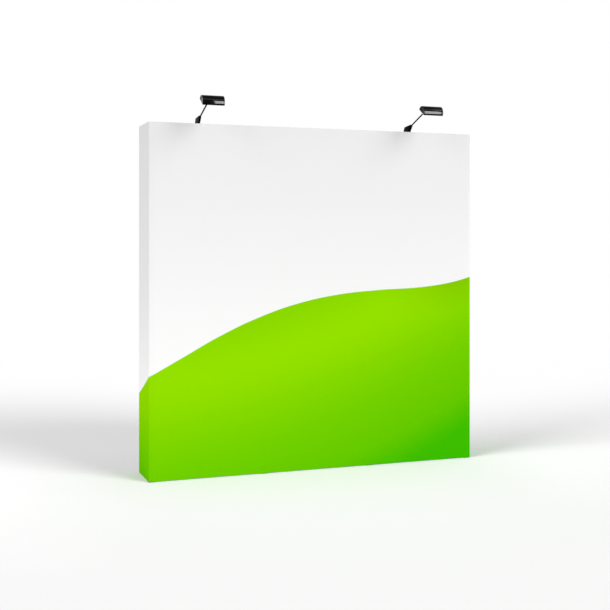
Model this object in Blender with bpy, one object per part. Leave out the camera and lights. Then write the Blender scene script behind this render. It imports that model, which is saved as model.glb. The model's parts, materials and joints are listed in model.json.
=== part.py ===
# Pop-up display wall: a stretched fabric graphic on an aluminium frame that folds in its width,
# with two clamp-on lamps that lean out over the front.
# Metres, +Z up. The graphic faces -Y. The origin is on the floor, in the middle of the whole object.

import math

import bmesh
import bpy
from mathutils import Matrix, Vector

# The wall, as seen from outside
WALL_WIDTH = 2.26
WALL_HEIGHT = 2.25
WALL_DEPTH = 0.307
COLUMN_COUNT = 4
ROW_COUNT = 4
ROW_MARGIN = 0.050  # outer rows of struts, from the floor and from the graphic's top edge

# Clearances
FIT_GAP = 0.0003  # between pieces that touch
SIDE_GAP = 0.0005  # beside a part that turns
BORE_GAP = 0.0008  # hole radius over pin radius
PLUG_GAP = 0.0005  # inside a tube or a socket

# Fabric graphic
FABRIC_THICKNESS = 0.0012
FABRIC_LIFT = 0.004
CORNER_STEPS = 4

# Uprights: channels with the open side inwards
UPRIGHT_WIDTH = 0.044
UPRIGHT_DEPTH = 0.014
UPRIGHT_WALL = 0.0018
UPRIGHT_DROP = 0.006  # top end below the graphic's top edge
TAPE_WIDTH = 0.030
TAPE_THICKNESS = 0.002
TAPE_MARGIN = 0.012

# Feet
FOOT_HEIGHT = 0.012
FOOT_TOE = 0.010

# Hubs: a block in the channel, with a level plate that holds two hinge pins
LUG_RADIUS = 0.008
PIVOT_REACH = 0.022  # from the channel's open edge to the pivots
PLATE_THICKNESS = 0.004
PAD_HEIGHT = 0.040
PIN_RADIUS = 0.003
PIN_END = 0.002  # a pin stands out of its tube by this
PIN_SIDES = 8
LUG_STEPS = 3

# Struts
TUBE_RADIUS = 0.007
TUBE_WALL = 0.0012
TUBE_SIDES = 8
TUBE_OVERHANG = 0.009  # past the hinge pins
RIVET_RADIUS = 0.0025
RIVET_HEAD_RADIUS = 0.0055
RIVET_HEAD = 0.002

# The lock between a front hub and the back hub behind it
LOCK_RADIUS = 0.0048
LOCK_NOSE_RADIUS = 0.0032
LOCK_NOSE = 0.022
LOCK_FLANGE_THICKNESS = 0.004
LOCK_SIDES = 10
LOCK_COLUMN = 2
LOCK_ROW = 2

# Lamp heads: half-round housings with the flat lens side turned down and back to the wall
LAMP_REACH = 0.177  # front of the head, ahead of the graphic
HEAD_RADIUS = 0.042
HEAD_LENGTH = 0.142
HEAD_WALL = 0.0025
HEAD_RISE = 0.1195  # middle of the lens side, above the graphic's top edge
HEAD_TILT = math.radians(33.5)
HEAD_STEPS = 12
LENS_THICKNESS = 0.003
LENS_BULGE = 0.006
LENS_STEPS = 6
LED_DEPTH = 0.014
LED_THICKNESS = 0.0016
NECK_ANGLE = math.radians(50)
NECK_LENGTH = 0.008
GLAND_RADIUS = 0.004
GLAND_LENGTH = 0.010
GLAND_OFFSET = 0.030  # beside the arm
GLAND_ANGLE = math.radians(44)

# Lamp arms and their two joints
ROD_RADIUS = 0.0048
ROD_NECK = 0.003  # where it runs into the eyes
ROD_START = 0.0115  # from a joint to the rod's full thickness
ROD_SIDES = 10
EYE_RADIUS = 0.0075
EYE_THICKNESS = 0.006
EYE_STEPS = 10
EAR_THICKNESS = 0.005
JOINT_PIN_RADIUS = 0.0025
JOINT_SIDES = 8

# Lamp brackets, which hook over a tube of the top row
BRACKET_WIDTH = 0.013
BRACKET_HEIGHT = 0.1037  # tube to arm joint
BRACKET_LEAN = 0.006  # arm joint behind the tube
BRACKET_DEPTH = 0.112  # back from the arm joint
BRACKET_OFFSET = 0.022  # along the tube, from the rivet
CHEEK_RADIUS = 0.0095
CHEEK_STEPS = 5
JAW_WALL = 0.006
JAW_BACK_WALL = 0.008
JAW_DROP = 0.0062
JAW_TOP = 0.008
JAW_STEPS = 6
SCREW_RADIUS = 0.003
SCREW_NECK = 0.003
KNOB_RADIUS = 0.009
KNOB_LENGTH = 0.011
KNOB_LOBES = 6
KNOB_WAIST_SHARE = 0.82
# Side outline of a bracket: shares of its depth behind the arm joint and of its height over the tube
BRACKET_SHARES = (
    (0.196, 0.634),
    (-0.143, 0.30),
    (-0.143, 0.143),
    (0.054, 0.143),
    (0.482, 0.598),
    (1.0, 0.70),
    (0.857, 1.0),
)

OVERRUN = 0.001  # cutters pass the faces that they open by this

# Places worked out from the sizes above
FRONT_Y = (LAMP_REACH - WALL_DEPTH) / 2
BACK_Y = FRONT_Y + WALL_DEPTH
FABRIC_CORNER = FABRIC_THICKNESS + TAPE_THICKNESS + 2 * FIT_GAP
FRONT_UPRIGHT_Y = FRONT_Y + FABRIC_CORNER
FRONT_HUB_Y = FRONT_UPRIGHT_Y + UPRIGHT_DEPTH
BACK_HUB_Y = BACK_Y - UPRIGHT_DEPTH
FRONT_PIVOT_Y = FRONT_HUB_Y + PIVOT_REACH
BACK_PIVOT_Y = BACK_HUB_Y - PIVOT_REACH
MIDDLE_Y = (FRONT_PIVOT_Y + BACK_PIVOT_Y) / 2
OUTER_COLUMN_X = WALL_WIDTH / 2 - FABRIC_THICKNESS - FIT_GAP - UPRIGHT_WIDTH / 2
COLUMN_PITCH = 2 * OUTER_COLUMN_X / (COLUMN_COUNT - 1)
COLUMN_XS = [COLUMN_PITCH * i - OUTER_COLUMN_X for i in range(COLUMN_COUNT)]
ROW_PITCH = (WALL_HEIGHT - 2 * ROW_MARGIN) / (ROW_COUNT - 1)
ROW_ZS = [ROW_MARGIN + ROW_PITCH * i for i in range(ROW_COUNT)]
PIVOT_SPREAD = UPRIGHT_WIDTH / 2 - LUG_RADIUS
STRUT_RUN = COLUMN_PITCH - 2 * PIVOT_SPREAD
STRUT_RISE = BACK_PIVOT_Y - FRONT_PIVOT_Y
STRUT_LENGTH = math.hypot(STRUT_RUN, STRUT_RISE)
STRUT_ANGLE = math.atan2(STRUT_RISE, STRUT_RUN)
TUBE_FLAT = TUBE_RADIUS * math.cos(math.pi / TUBE_SIDES)  # the tubes are drawn with flat sides
LAYER = TUBE_FLAT + SIDE_GAP + PLATE_THICKNESS / 2
TUBE_BORE = TUBE_RADIUS - TUBE_WALL
LOCK_FLANGE = PIVOT_SPREAD - TUBE_RADIUS - 2 * SIDE_GAP  # clear of the folded tubes
CLAMP_Y = MIDDLE_Y + BRACKET_OFFSET * math.sin(STRUT_ANGLE)
CLAMP_Z = ROW_ZS[-1] + LAYER
JAW_RADIUS = TUBE_RADIUS + PLUG_GAP
ARM_JOINT = Vector((0, CLAMP_Y + BRACKET_LEAN, CLAMP_Z + BRACKET_HEIGHT))
HEAD_MIDDLE = Vector((0, FRONT_Y - LAMP_REACH + HEAD_RADIUS, WALL_HEIGHT + HEAD_RISE))
NECK_DIRECTION = Vector((0, math.cos(NECK_ANGLE), math.sin(NECK_ANGLE)))
HEAD_JOINT = HEAD_MIDDLE + (HEAD_RADIUS + NECK_LENGTH) * NECK_DIRECTION

# Which struts lie in the upper layer: the others lie under them
UPPER_STRUTS = ("1b", "2a", "3a")


# Materials

def make_material(name, colour, roughness, metallic=0.0):
    material = bpy.data.materials.new(name)
    material.use_nodes = True
    shader = material.node_tree.nodes["Principled BSDF"]
    shader.inputs["Base Color"].default_value = (*colour, 1.0)
    shader.inputs["Roughness"].default_value = roughness
    shader.inputs["Metallic"].default_value = metallic
    material.diffuse_color = (*colour, 1.0)
    return material


def make_materials():
    return {
        "fabric": make_material("printed_fabric", (0.86, 0.87, 0.86), 0.85),
        "aluminium": make_material("anodised_aluminium", (0.62, 0.63, 0.64), 0.35, 1.0),
        "hub": make_material("black_nylon", (0.02, 0.02, 0.022), 0.5),
        "tape": make_material("hook_tape", (0.75, 0.75, 0.74), 0.95),
        "foot": make_material("black_rubber", (0.015, 0.015, 0.015), 0.85),
        "black": make_material("gloss_black", (0.01, 0.01, 0.011), 0.18),
        "lens": make_material("frosted_lens", (0.85, 0.86, 0.86), 0.4),
        "leds": make_material("led_board", (0.9, 0.9, 0.86), 0.5),
    }


# Meshes

def extruded(outline, holes, low, high):
    # A flat outline in XY, with holes, pushed up from low to high
    bm = bmesh.new()
    edges = []
    for loop in [outline, *holes]:
        verts = [bm.verts.new((x, y, low)) for x, y in loop]
        edges += [bm.edges.new((verts[i - 1], verts[i])) for i in range(len(verts))]
    bmesh.ops.triangle_fill(bm, use_beauty=True, edges=edges)
    lifted = bmesh.ops.extrude_face_region(bm, geom=bm.faces[:])
    top = [v for v in lifted["geom"] if isinstance(v, bmesh.types.BMVert)]
    bmesh.ops.translate(bm, vec=(0, 0, high - low), verts=top)
    return finished_mesh(bm)


def turned(radii_heights, sides):
    # A solid round piece about Z: radii at rising heights, flat at both ends
    bm = bmesh.new()
    rings = []
    for radius, height in radii_heights:
        ring = [bm.verts.new((x, y, height)) for x, y in circle(radius, sides)]
        rings.append(ring)
    for low, high in zip(rings, rings[1:]):
        for i in range(sides):
            bm.faces.new((low[i - 1], low[i], high[i], high[i - 1]))
    bm.faces.new(rings[0][::-1])
    bm.faces.new(rings[-1])
    return finished_mesh(bm)


def box(low, high):
    bm = bmesh.new()
    size = Vector(high) - Vector(low)
    middle = (Vector(high) + Vector(low)) / 2
    bmesh.ops.create_cube(bm, size=1, matrix=Matrix.Translation(middle) @ Matrix.Diagonal((*size, 1)))
    return finished_mesh(bm)


def finished_mesh(bm):
    bmesh.ops.recalc_face_normals(bm, faces=bm.faces[:])
    mesh = bpy.data.meshes.new("shape")
    bm.to_mesh(mesh)
    bm.free()
    return mesh


def circle(radius, sides, middle=(0, 0)):
    # Points round a circle, with a flat side across each axis
    points = []
    for i in range(sides):
        angle = 2 * math.pi * (i + 0.5) / sides
        points.append((middle[0] + radius * math.cos(angle), middle[1] + radius * math.sin(angle)))
    return points


def arc(middle, radius, start, end, steps):
    points = []
    for i in range(steps + 1):
        angle = start + (end - start) * i / steps
        points.append((middle[0] + radius * math.cos(angle), middle[1] + radius * math.sin(angle)))
    return points


def moved(mesh, matrix):
    copy = mesh.copy()
    copy.transform(matrix)
    return copy


def combined(base, steps):
    # Boolean steps on a mesh, each one ("UNION" or "DIFFERENCE", other mesh)
    target = bpy.data.objects.new("base", base)
    bpy.context.collection.objects.link(target)
    tools = []
    for operation, mesh in steps:
        tool = bpy.data.objects.new("tool", mesh)
        bpy.context.collection.objects.link(tool)
        tool.hide_render = True
        tool.display_type = "WIRE"
        modifier = target.modifiers.new(operation.lower(), "BOOLEAN")
        modifier.operation = operation
        modifier.object = tool
        modifier.solver = "EXACT"
        tools.append(tool)
    graph = bpy.context.evaluated_depsgraph_get()
    result = bpy.data.meshes.new_from_object(target.evaluated_get(graph))
    for spare in [target, *tools]:
        bpy.data.objects.remove(spare)
    return result


# X of a shape becomes Y, its Y becomes Z and its Z becomes X: for outlines seen from the side
SIDE_VIEW = Matrix(((0, 0, 1, 0), (1, 0, 0, 0), (0, 1, 0, 0), (0, 0, 0, 1)))
# Z of a turned piece becomes +Y
ALONG_Y = Matrix.Rotation(-math.pi / 2, 4, "X")
# Z of a turned piece becomes +X
ALONG_X = Matrix.Rotation(math.pi / 2, 4, "Y")


# Objects

def add_axis(name, place):
    # An empty on a joint's axis, which carries the pieces of one moving body
    axis = bpy.data.objects.new(name, None)
    axis.location = place
    bpy.context.collection.objects.link(axis)
    return axis


def add_piece(name, mesh, material, axis, place=(0, 0, 0), turn=0.0, smooth=False):
    piece = bpy.data.objects.new(name, mesh)
    bpy.context.collection.objects.link(piece)
    piece.parent = axis
    piece.location = Vector(place) - axis.location
    piece.rotation_euler = (0, 0, turn)
    if not mesh.materials:
        mesh.materials.append(material)
    if smooth:
        mesh.shade_smooth()
        mesh.set_sharp_from_angle(angle=math.radians(50))
    return piece


# The graphic

def graphic_mesh():
    # One sheet in plan: along the left end, round the front and along the right end
    half = WALL_WIDTH / 2
    corners = ((FABRIC_CORNER - half, math.pi), (half - FABRIC_CORNER, 1.5 * math.pi))
    faces = []
    for inset in (0, FABRIC_THICKNESS):
        reach = half - inset
        radius = FABRIC_CORNER - inset
        points = [(-reach, BACK_Y)]
        for x, start in corners:
            points += arc((x, FRONT_Y + FABRIC_CORNER), radius, start, start + math.pi / 2, CORNER_STEPS)
        points.append((reach, BACK_Y))
        faces.append(points)
    return extruded(faces[0] + faces[1][::-1], [], FABRIC_LIFT, WALL_HEIGHT)


# Uprights, tapes and feet, drawn about the middle of the channel's outer face, with the inside at +Y

def channel_mesh():
    half = UPRIGHT_WIDTH / 2
    inner = half - UPRIGHT_WALL
    outline = [(-half, 0), (half, 0), (half, UPRIGHT_DEPTH), (inner, UPRIGHT_DEPTH), (inner, UPRIGHT_WALL)]
    outline += [(-inner, UPRIGHT_WALL), (-inner, UPRIGHT_DEPTH), (-half, UPRIGHT_DEPTH)]
    return extruded(outline, [], FOOT_HEIGHT + FIT_GAP, WALL_HEIGHT - UPRIGHT_DROP)


def hub_meshes(z, left_layer, right_layer):
    # A block set in the channel, a level plate with two lugs, and a pin up or down at each used pivot
    half = (UPRIGHT_WIDTH - UPRIGHT_WALL) / 2
    root = UPRIGHT_WALL / 2
    meshes = [box((-half, root, z - PAD_HEIGHT / 2), (half, UPRIGHT_DEPTH - root, z + PAD_HEIGHT / 2))]
    reach = UPRIGHT_DEPTH + PIVOT_REACH
    outline = [(-half, UPRIGHT_DEPTH / 2), (half, UPRIGHT_DEPTH / 2)]
    outline += arc((PIVOT_SPREAD, reach), LUG_RADIUS, 0, math.pi / 2, LUG_STEPS)
    outline += arc((-PIVOT_SPREAD, reach), LUG_RADIUS, math.pi / 2, math.pi, LUG_STEPS)
    meshes.append(extruded(outline, [], z - PLATE_THICKNESS / 2, z + PLATE_THICKNESS / 2))
    for side, layer in ((-1, left_layer), (1, right_layer)):
        if layer:
            pin = turned([(PIN_RADIUS, 0), (PIN_RADIUS, LAYER + TUBE_FLAT + PIN_END)], PIN_SIDES)
            place = Matrix.Translation((side * PIVOT_SPREAD, reach, z))
            pin.transform(place @ Matrix.Diagonal((layer, 1, layer, 1)))
            meshes.append(pin)
    return meshes


def upright_mesh(left_layer, right_layer):
    steps = []
    for z in ROW_ZS:
        steps += [("UNION", mesh) for mesh in hub_meshes(z, left_layer, right_layer)]
    return combined(channel_mesh(), steps)


def tape_mesh():
    back = -FIT_GAP
    low = FOOT_HEIGHT + TAPE_MARGIN
    high = WALL_HEIGHT - UPRIGHT_DROP - TAPE_MARGIN
    return box((-TAPE_WIDTH / 2, back - TAPE_THICKNESS, low), (TAPE_WIDTH / 2, back, high))


def foot_mesh():
    # A pad under the channel and a plug up inside it, short of the lowest hub
    half = UPRIGHT_WIDTH / 2
    plug_half = half - UPRIGHT_WALL - FIT_GAP
    plug_top = ROW_MARGIN - PAD_HEIGHT / 2 - FIT_GAP
    pad = box((-half, 0, 0), (half, UPRIGHT_DEPTH + FOOT_TOE, FOOT_HEIGHT))
    plug = box(
        (-plug_half, UPRIGHT_WALL + FIT_GAP, FOOT_HEIGHT / 2),
        (plug_half, UPRIGHT_DEPTH - UPRIGHT_WALL, plug_top),
    )
    return combined(pad, [("UNION", plug)])


# Struts, drawn along +X from one hinge pin to the other

def strut_mesh(letter, layer):
    # An open tube with a hole down through it at each pin. The rivet through the crossing is fixed
    # in the strut lettered a and turns in a hole in the one lettered b.
    bore = circle(TUBE_BORE, TUBE_SIDES)
    tube = extruded(circle(TUBE_RADIUS, TUBE_SIDES), [bore], -TUBE_OVERHANG, STRUT_LENGTH + TUBE_OVERHANG)
    tube.transform(ALONG_X)
    steps = [("DIFFERENCE", drill_mesh(PIN_RADIUS, x)) for x in (0, STRUT_LENGTH)]
    if letter == "b":
        steps.append(("DIFFERENCE", drill_mesh(RIVET_RADIUS, STRUT_LENGTH / 2)))
    else:
        rivet = rivet_mesh()
        if layer < 0:
            rivet.transform(Matrix.Diagonal((-1, 1, -1, 1)))
        rivet.transform(Matrix.Translation((STRUT_LENGTH / 2, 0, 0)))
        steps.append(("UNION", rivet))
    return combined(tube, steps)


def drill_mesh(pin_radius, x):
    radius = pin_radius + BORE_GAP
    reach = TUBE_RADIUS + OVERRUN
    drill = turned([(radius, -reach), (radius, reach)], PIN_SIDES)
    drill.transform(Matrix.Translation((x, 0, 0)))
    return drill


def rivet_mesh():
    # Downwards from the head on its own tube, with a collar between the tubes, to the head under the other
    other = -2 * LAYER
    seat = TUBE_FLAT - TUBE_WALL / 2
    profile = [
        (RIVET_RADIUS, other - TUBE_FLAT - SIDE_GAP - RIVET_HEAD),
        (RIVET_HEAD_RADIUS, other - TUBE_FLAT - SIDE_GAP),
        (RIVET_RADIUS, other - TUBE_FLAT - SIDE_GAP),
        (RIVET_RADIUS, other + TUBE_FLAT + SIDE_GAP),
        (RIVET_HEAD_RADIUS, other + TUBE_FLAT + SIDE_GAP),
        (RIVET_HEAD_RADIUS, -seat),
        (RIVET_RADIUS, -seat),
        (RIVET_RADIUS, seat),
        (RIVET_HEAD_RADIUS, seat),
        (RIVET_RADIUS, TUBE_FLAT + RIVET_HEAD),
    ]
    return turned(profile, PIN_SIDES)


# Locks, drawn from the end of a hub's plate inwards along +Y

def lock_span():
    return STRUT_RISE - 2 * (LUG_RADIUS + FIT_GAP)


def lock_socket_mesh():
    length = (lock_span() + LOCK_NOSE) / 2
    profile = [(LOCK_FLANGE, 0), (LOCK_FLANGE, LOCK_FLANGE_THICKNESS)]
    profile += [(LOCK_RADIUS, LOCK_FLANGE_THICKNESS), (LOCK_RADIUS, length)]
    bore = LOCK_NOSE_RADIUS + PLUG_GAP
    cutter = turned([(bore, length - LOCK_NOSE - PLUG_GAP), (bore, length + OVERRUN)], LOCK_SIDES)
    return moved(combined(turned(profile, LOCK_SIDES), [("DIFFERENCE", cutter)]), ALONG_Y)


def lock_nose_mesh():
    shaft = (lock_span() - LOCK_NOSE) / 2 - FIT_GAP
    tip = shaft + FIT_GAP + LOCK_NOSE - PLUG_GAP
    profile = [(LOCK_FLANGE, 0), (LOCK_FLANGE, LOCK_FLANGE_THICKNESS)]
    profile += [(LOCK_RADIUS, LOCK_FLANGE_THICKNESS), (LOCK_RADIUS, shaft)]
    profile += [(LOCK_NOSE_RADIUS, shaft), (LOCK_NOSE_RADIUS, tip)]
    return moved(turned(profile, LOCK_SIDES), ALONG_Y)


# Lamps. A bracket is drawn about the tube that it hooks over, an arm about its lower joint,
# and a head about the joint at the arm's end.

def jaw_mesh(turn):
    # The hook: a channel open below, square to the tube
    front = -JAW_RADIUS - JAW_WALL
    back = JAW_RADIUS + JAW_BACK_WALL
    top = JAW_RADIUS + JAW_WALL + JAW_TOP
    outline = [(front, top), (front, -JAW_DROP), (-JAW_RADIUS, -JAW_DROP)]
    outline += arc((0, 0), JAW_RADIUS, math.pi, 0, JAW_STEPS)
    outline += [(JAW_RADIUS, -JAW_DROP), (back, -JAW_DROP), (back, top)]
    jaw = extruded(outline, [], -BRACKET_WIDTH / 2, BRACKET_WIDTH / 2)
    jaw.transform(Matrix.Rotation(turn, 4, "Z") @ SIDE_VIEW)
    hole = turned([(SCREW_RADIUS + PLUG_GAP, 0), (SCREW_RADIUS + PLUG_GAP, back + OVERRUN)], JOINT_SIDES)
    hole.transform(Matrix.Rotation(turn, 4, "Z") @ ALONG_Y)
    return jaw, hole


def bracket_mesh(turn):
    # The hook on the tube, and above it a leaning block with a fork for the arm
    pivot = (BRACKET_LEAN, BRACKET_HEIGHT)
    outline = [(BRACKET_LEAN + BRACKET_DEPTH * y, BRACKET_HEIGHT * z) for y, z in BRACKET_SHARES]
    outline += arc(pivot, CHEEK_RADIUS, math.radians(84), math.radians(205), CHEEK_STEPS)
    block = extruded(outline, [], -BRACKET_WIDTH / 2, BRACKET_WIDTH / 2)
    block.transform(SIDE_VIEW)
    slot_half = EYE_THICKNESS / 2 + SIDE_GAP
    clear = EYE_RADIUS + 2 * SIDE_GAP
    far = CHEEK_RADIUS + OVERRUN
    slot = box(
        (-slot_half, pivot[0] - far, pivot[1] - clear),
        (slot_half, pivot[0] + clear, pivot[1] + far),
    )
    pin = joint_pin_mesh(BRACKET_WIDTH)
    pin.transform(Matrix.Translation((0, *pivot)))
    jaw, hole = jaw_mesh(turn)
    return combined(block, [("DIFFERENCE", slot), ("UNION", pin), ("UNION", jaw), ("DIFFERENCE", hole)])


def joint_pin_mesh(length):
    # A little shorter than the fork, so that it ends inside the fork's cheeks
    half = length / 2 - SIDE_GAP
    pin = turned([(JOINT_PIN_RADIUS, -half), (JOINT_PIN_RADIUS, half)], JOINT_SIDES)
    pin.transform(ALONG_X)
    return pin


def screw_mesh():
    # A screw along +Y from the tube outwards, with a lobed knob
    start = TUBE_FLAT + FIT_GAP
    knob = JAW_RADIUS + JAW_BACK_WALL + SCREW_NECK
    shank = turned([(SCREW_RADIUS, start), (SCREW_RADIUS, knob + KNOB_LENGTH / 2)], JOINT_SIDES)
    lobes = []
    for i in range(2 * KNOB_LOBES):
        radius = KNOB_RADIUS * (KNOB_WAIST_SHARE if i % 2 else 1)
        angle = math.pi * i / KNOB_LOBES
        lobes.append((radius * math.cos(angle), radius * math.sin(angle)))
    grip = extruded(lobes, [], knob, knob + KNOB_LENGTH)
    return moved(combined(shank, [("UNION", grip)]), ALONG_Y)


def eye_mesh():
    hole = circle(JOINT_PIN_RADIUS + BORE_GAP, JOINT_SIDES)
    ring = extruded(circle(EYE_RADIUS, EYE_STEPS), [hole], -EYE_THICKNESS / 2, EYE_THICKNESS / 2)
    ring.transform(SIDE_VIEW)
    return ring


def arm_mesh():
    # A straight rod, thinner next to the eyes at both ends
    run = HEAD_JOINT - ARM_JOINT
    inset = (EYE_RADIUS + JOINT_PIN_RADIUS + BORE_GAP) / 2
    profile = [(ROD_NECK, inset), (ROD_NECK, ROD_START), (ROD_RADIUS, ROD_START)]
    profile += [(radius, run.length - reach) for radius, reach in reversed(profile)]
    rod = turned(profile, ROD_SIDES)
    rod.transform(run.to_track_quat("Z", "X").to_matrix().to_4x4())
    far_eye = moved(eye_mesh(), Matrix.Translation(run))
    return combined(eye_mesh(), [("UNION", rod), ("UNION", far_eye)])


def head_place():
    return Matrix.Translation(HEAD_MIDDLE - HEAD_JOINT)


def half_round(radius, half_length, back=0.0):
    # A half-round bar along X, its flat side turned down and back; back moves the flat side out
    outline = arc((0, 0), radius, 0, math.pi, HEAD_STEPS)
    if back:
        outline = [(radius, -back), *outline, (-radius, -back)]
    bar = extruded(outline, [], -half_length, half_length)
    bar.transform(Matrix.Rotation(HEAD_TILT, 4, "X") @ SIDE_VIEW)
    return bar


def housing_mesh():
    # A half-round shell with closed ends, two ears for the arm's eye, and a gland
    middle = head_place()
    shell = moved(half_round(HEAD_RADIUS, HEAD_LENGTH / 2), middle)
    hollow = moved(half_round(HEAD_RADIUS - HEAD_WALL, HEAD_LENGTH / 2 - HEAD_WALL, OVERRUN), middle)
    steps = [("DIFFERENCE", hollow)]
    ear_inner = EYE_THICKNESS / 2 + SIDE_GAP
    root = (HEAD_MIDDLE - HEAD_JOINT) * ((NECK_LENGTH + HEAD_WALL / 2) / (HEAD_RADIUS + NECK_LENGTH))
    for start in (ear_inner, -ear_inner - EAR_THICKNESS):
        ear = extruded(ear_outline(root), [], start, start + EAR_THICKNESS)
        ear.transform(SIDE_VIEW)
        steps.append(("UNION", ear))
    steps.append(("UNION", joint_pin_mesh(2 * (ear_inner + EAR_THICKNESS))))
    steps.append(("UNION", moved(gland_mesh(), middle)))
    return combined(shell, steps)


def gland_mesh():
    # Where the lamp's lead comes in, on the back of the shell beside the ears
    inner = HEAD_RADIUS - HEAD_WALL / 2
    gland = turned([(GLAND_RADIUS, inner), (GLAND_RADIUS, HEAD_RADIUS + GLAND_LENGTH)], JOINT_SIDES)
    gland.transform(Matrix.Translation((GLAND_OFFSET, 0, 0)) @ Matrix.Rotation(GLAND_ANGLE, 4, "X") @ ALONG_Y)
    return gland


def ear_outline(root):
    # An ear in side view: round at the joint, straight down to its root in the shell's wall
    angle = math.atan2(root.z, root.y)
    outline = arc((0, 0), EYE_RADIUS, angle + math.pi / 2, angle + 1.5 * math.pi, EYE_STEPS // 2)
    along = Vector((math.cos(angle), math.sin(angle))) * root.length
    across = Vector((-math.sin(angle), math.cos(angle))) * EYE_RADIUS
    outline.append(tuple(along - across))
    outline.append(tuple(along + across))
    return outline


def lens_mesh():
    # A shallow domed cover in the opening of the shell
    half_width = HEAD_RADIUS - HEAD_WALL - PLUG_GAP - FIT_GAP
    depth = LENS_THICKNESS
    sag_radius = (half_width**2 + LENS_BULGE**2) / (2 * LENS_BULGE)
    sweep = math.asin(half_width / sag_radius)
    middle = (0, sag_radius - LENS_BULGE)
    outline = arc(middle, sag_radius, 1.5 * math.pi - sweep, 1.5 * math.pi + sweep, LENS_STEPS)
    inner_half = math.sqrt((half_width) ** 2 - depth**2)
    outline += [(inner_half, depth), (-inner_half, depth)]
    half_length = HEAD_LENGTH / 2 - HEAD_WALL - PLUG_GAP
    lens = extruded(outline, [], -half_length, half_length)
    lens.transform(head_place() @ Matrix.Rotation(HEAD_TILT, 4, "X") @ SIDE_VIEW)
    return lens


def led_mesh():
    # A flat board across the shell, behind the lens
    high = LED_DEPTH + LED_THICKNESS
    bore = (HEAD_RADIUS - HEAD_WALL) * math.cos(math.pi / HEAD_STEPS / 2)
    half_width = math.sqrt(bore**2 - high**2) - FIT_GAP
    half_length = HEAD_LENGTH / 2 - HEAD_WALL - FIT_GAP
    board = box((-half_width, LED_DEPTH, -half_length), (half_width, high, half_length))
    board.transform(head_place() @ Matrix.Rotation(HEAD_TILT, 4, "X") @ SIDE_VIEW)
    return board


# Assembly

def layer_of(strut):
    return 1 if strut in UPPER_STRUTS else -1


def pivot_layers(column, is_front):
    # The layers of the struts that meet a column from the left and from the right
    left = f"{column - 1}{'b' if is_front else 'a'}" if column > 1 else None
    right = f"{column}{'a' if is_front else 'b'}" if column < COLUMN_COUNT else None
    return tuple(layer_of(name) if name else 0 for name in (left, right))


def pivot(column, side, is_front):
    y = FRONT_PIVOT_Y if is_front else BACK_PIVOT_Y
    return Vector((COLUMN_XS[column - 1] + side * PIVOT_SPREAD, y, 0))


def crossing(cell):
    return Vector(((COLUMN_XS[cell - 1] + COLUMN_XS[cell]) / 2, MIDDLE_Y, 0))


def strut_turn(letter):
    return STRUT_ANGLE if letter == "a" else -STRUT_ANGLE


def build_column(side, number, joint_place, paint, shared):
    is_front = side == "front"
    x = COLUMN_XS[number - 1]
    turn = 0.0 if is_front else math.pi
    face = (x, FRONT_UPRIGHT_Y if is_front else BACK_Y, 0)
    axis = add_axis(f"{side}_column_{number}_axis", joint_place)
    layers = pivot_layers(number, is_front)
    upright = upright_mesh(*(layers if is_front else layers[::-1]))
    add_piece(f"{side}_upright_{number}", upright, paint["aluminium"], axis, face, turn)
    add_piece(f"{side}_foot_{number}", shared["foot"], paint["foot"], axis, face, turn)
    if is_front:
        add_piece(f"hook_tape_{number}", shared["tape"], paint["tape"], axis, face)
    if number == LOCK_COLUMN:
        name = "lock_socket" if is_front else "lock_nose"
        past = LUG_RADIUS + FIT_GAP
        plate_end = FRONT_PIVOT_Y + past if is_front else BACK_PIVOT_Y - past
        add_piece(name, shared[name], paint["hub"], axis, (x, plate_end, ROW_ZS[LOCK_ROW - 1]), turn)
    return axis


def build_struts(cell, letter, joint_place, paint):
    # One body: the parallel struts of all rows
    name = f"{cell}{letter}"
    axis = add_axis(f"struts_{name}_axis", joint_place)
    layer = layer_of(name)
    mesh = strut_mesh(letter, layer)
    start = pivot(cell, 1, letter == "a")
    for row, z in enumerate(ROW_ZS, start=1):
        place = start + Vector((0, 0, z + layer * LAYER))
        turn = strut_turn(letter)
        add_piece(f"strut_{name}_{row}", mesh, paint["aluminium"], axis, place, turn, smooth=True)


def build_lamp(side, cell, letter, paint, shared):
    # The lamp stands on an upper strut of the top row, just beyond the rivet
    away = -1 if letter == "b" else 1
    clamp_x = crossing(cell).x + away * BRACKET_OFFSET * math.cos(STRUT_ANGLE)
    turn = strut_turn(letter)
    clamp = Vector((clamp_x, CLAMP_Y, CLAMP_Z))
    across = Vector((clamp_x, 0, 0))
    base = add_axis(f"lamp_{side}_base", clamp)
    add_piece(f"lamp_{side}_bracket", bracket_mesh(turn), paint["black"], base, clamp)
    screw_axis = add_axis(f"lamp_{side}_screw_axis", clamp)
    add_piece(f"lamp_{side}_screw", shared["screw"], paint["black"], screw_axis, clamp, turn)
    arm_axis = add_axis(f"lamp_{side}_arm_axis", across + ARM_JOINT)
    add_piece(f"lamp_{side}_arm", shared["arm"], paint["black"], arm_axis, across + ARM_JOINT, smooth=True)
    head = across + HEAD_JOINT
    head_axis = add_axis(f"lamp_{side}_head_axis", head)
    for name, colour in (("housing", "black"), ("lens", "lens"), ("leds", "leds")):
        add_piece(f"lamp_{side}_{name}", shared[name], paint[colour], head_axis, head, smooth=True)


def shared_meshes():
    return {
        "foot": foot_mesh(),
        "tape": tape_mesh(),
        "lock_socket": lock_socket_mesh(),
        "lock_nose": lock_nose_mesh(),
        "screw": screw_mesh(),
        "arm": arm_mesh(),
        "housing": housing_mesh(),
        "lens": lens_mesh(),
        "leds": led_mesh(),
    }


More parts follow.
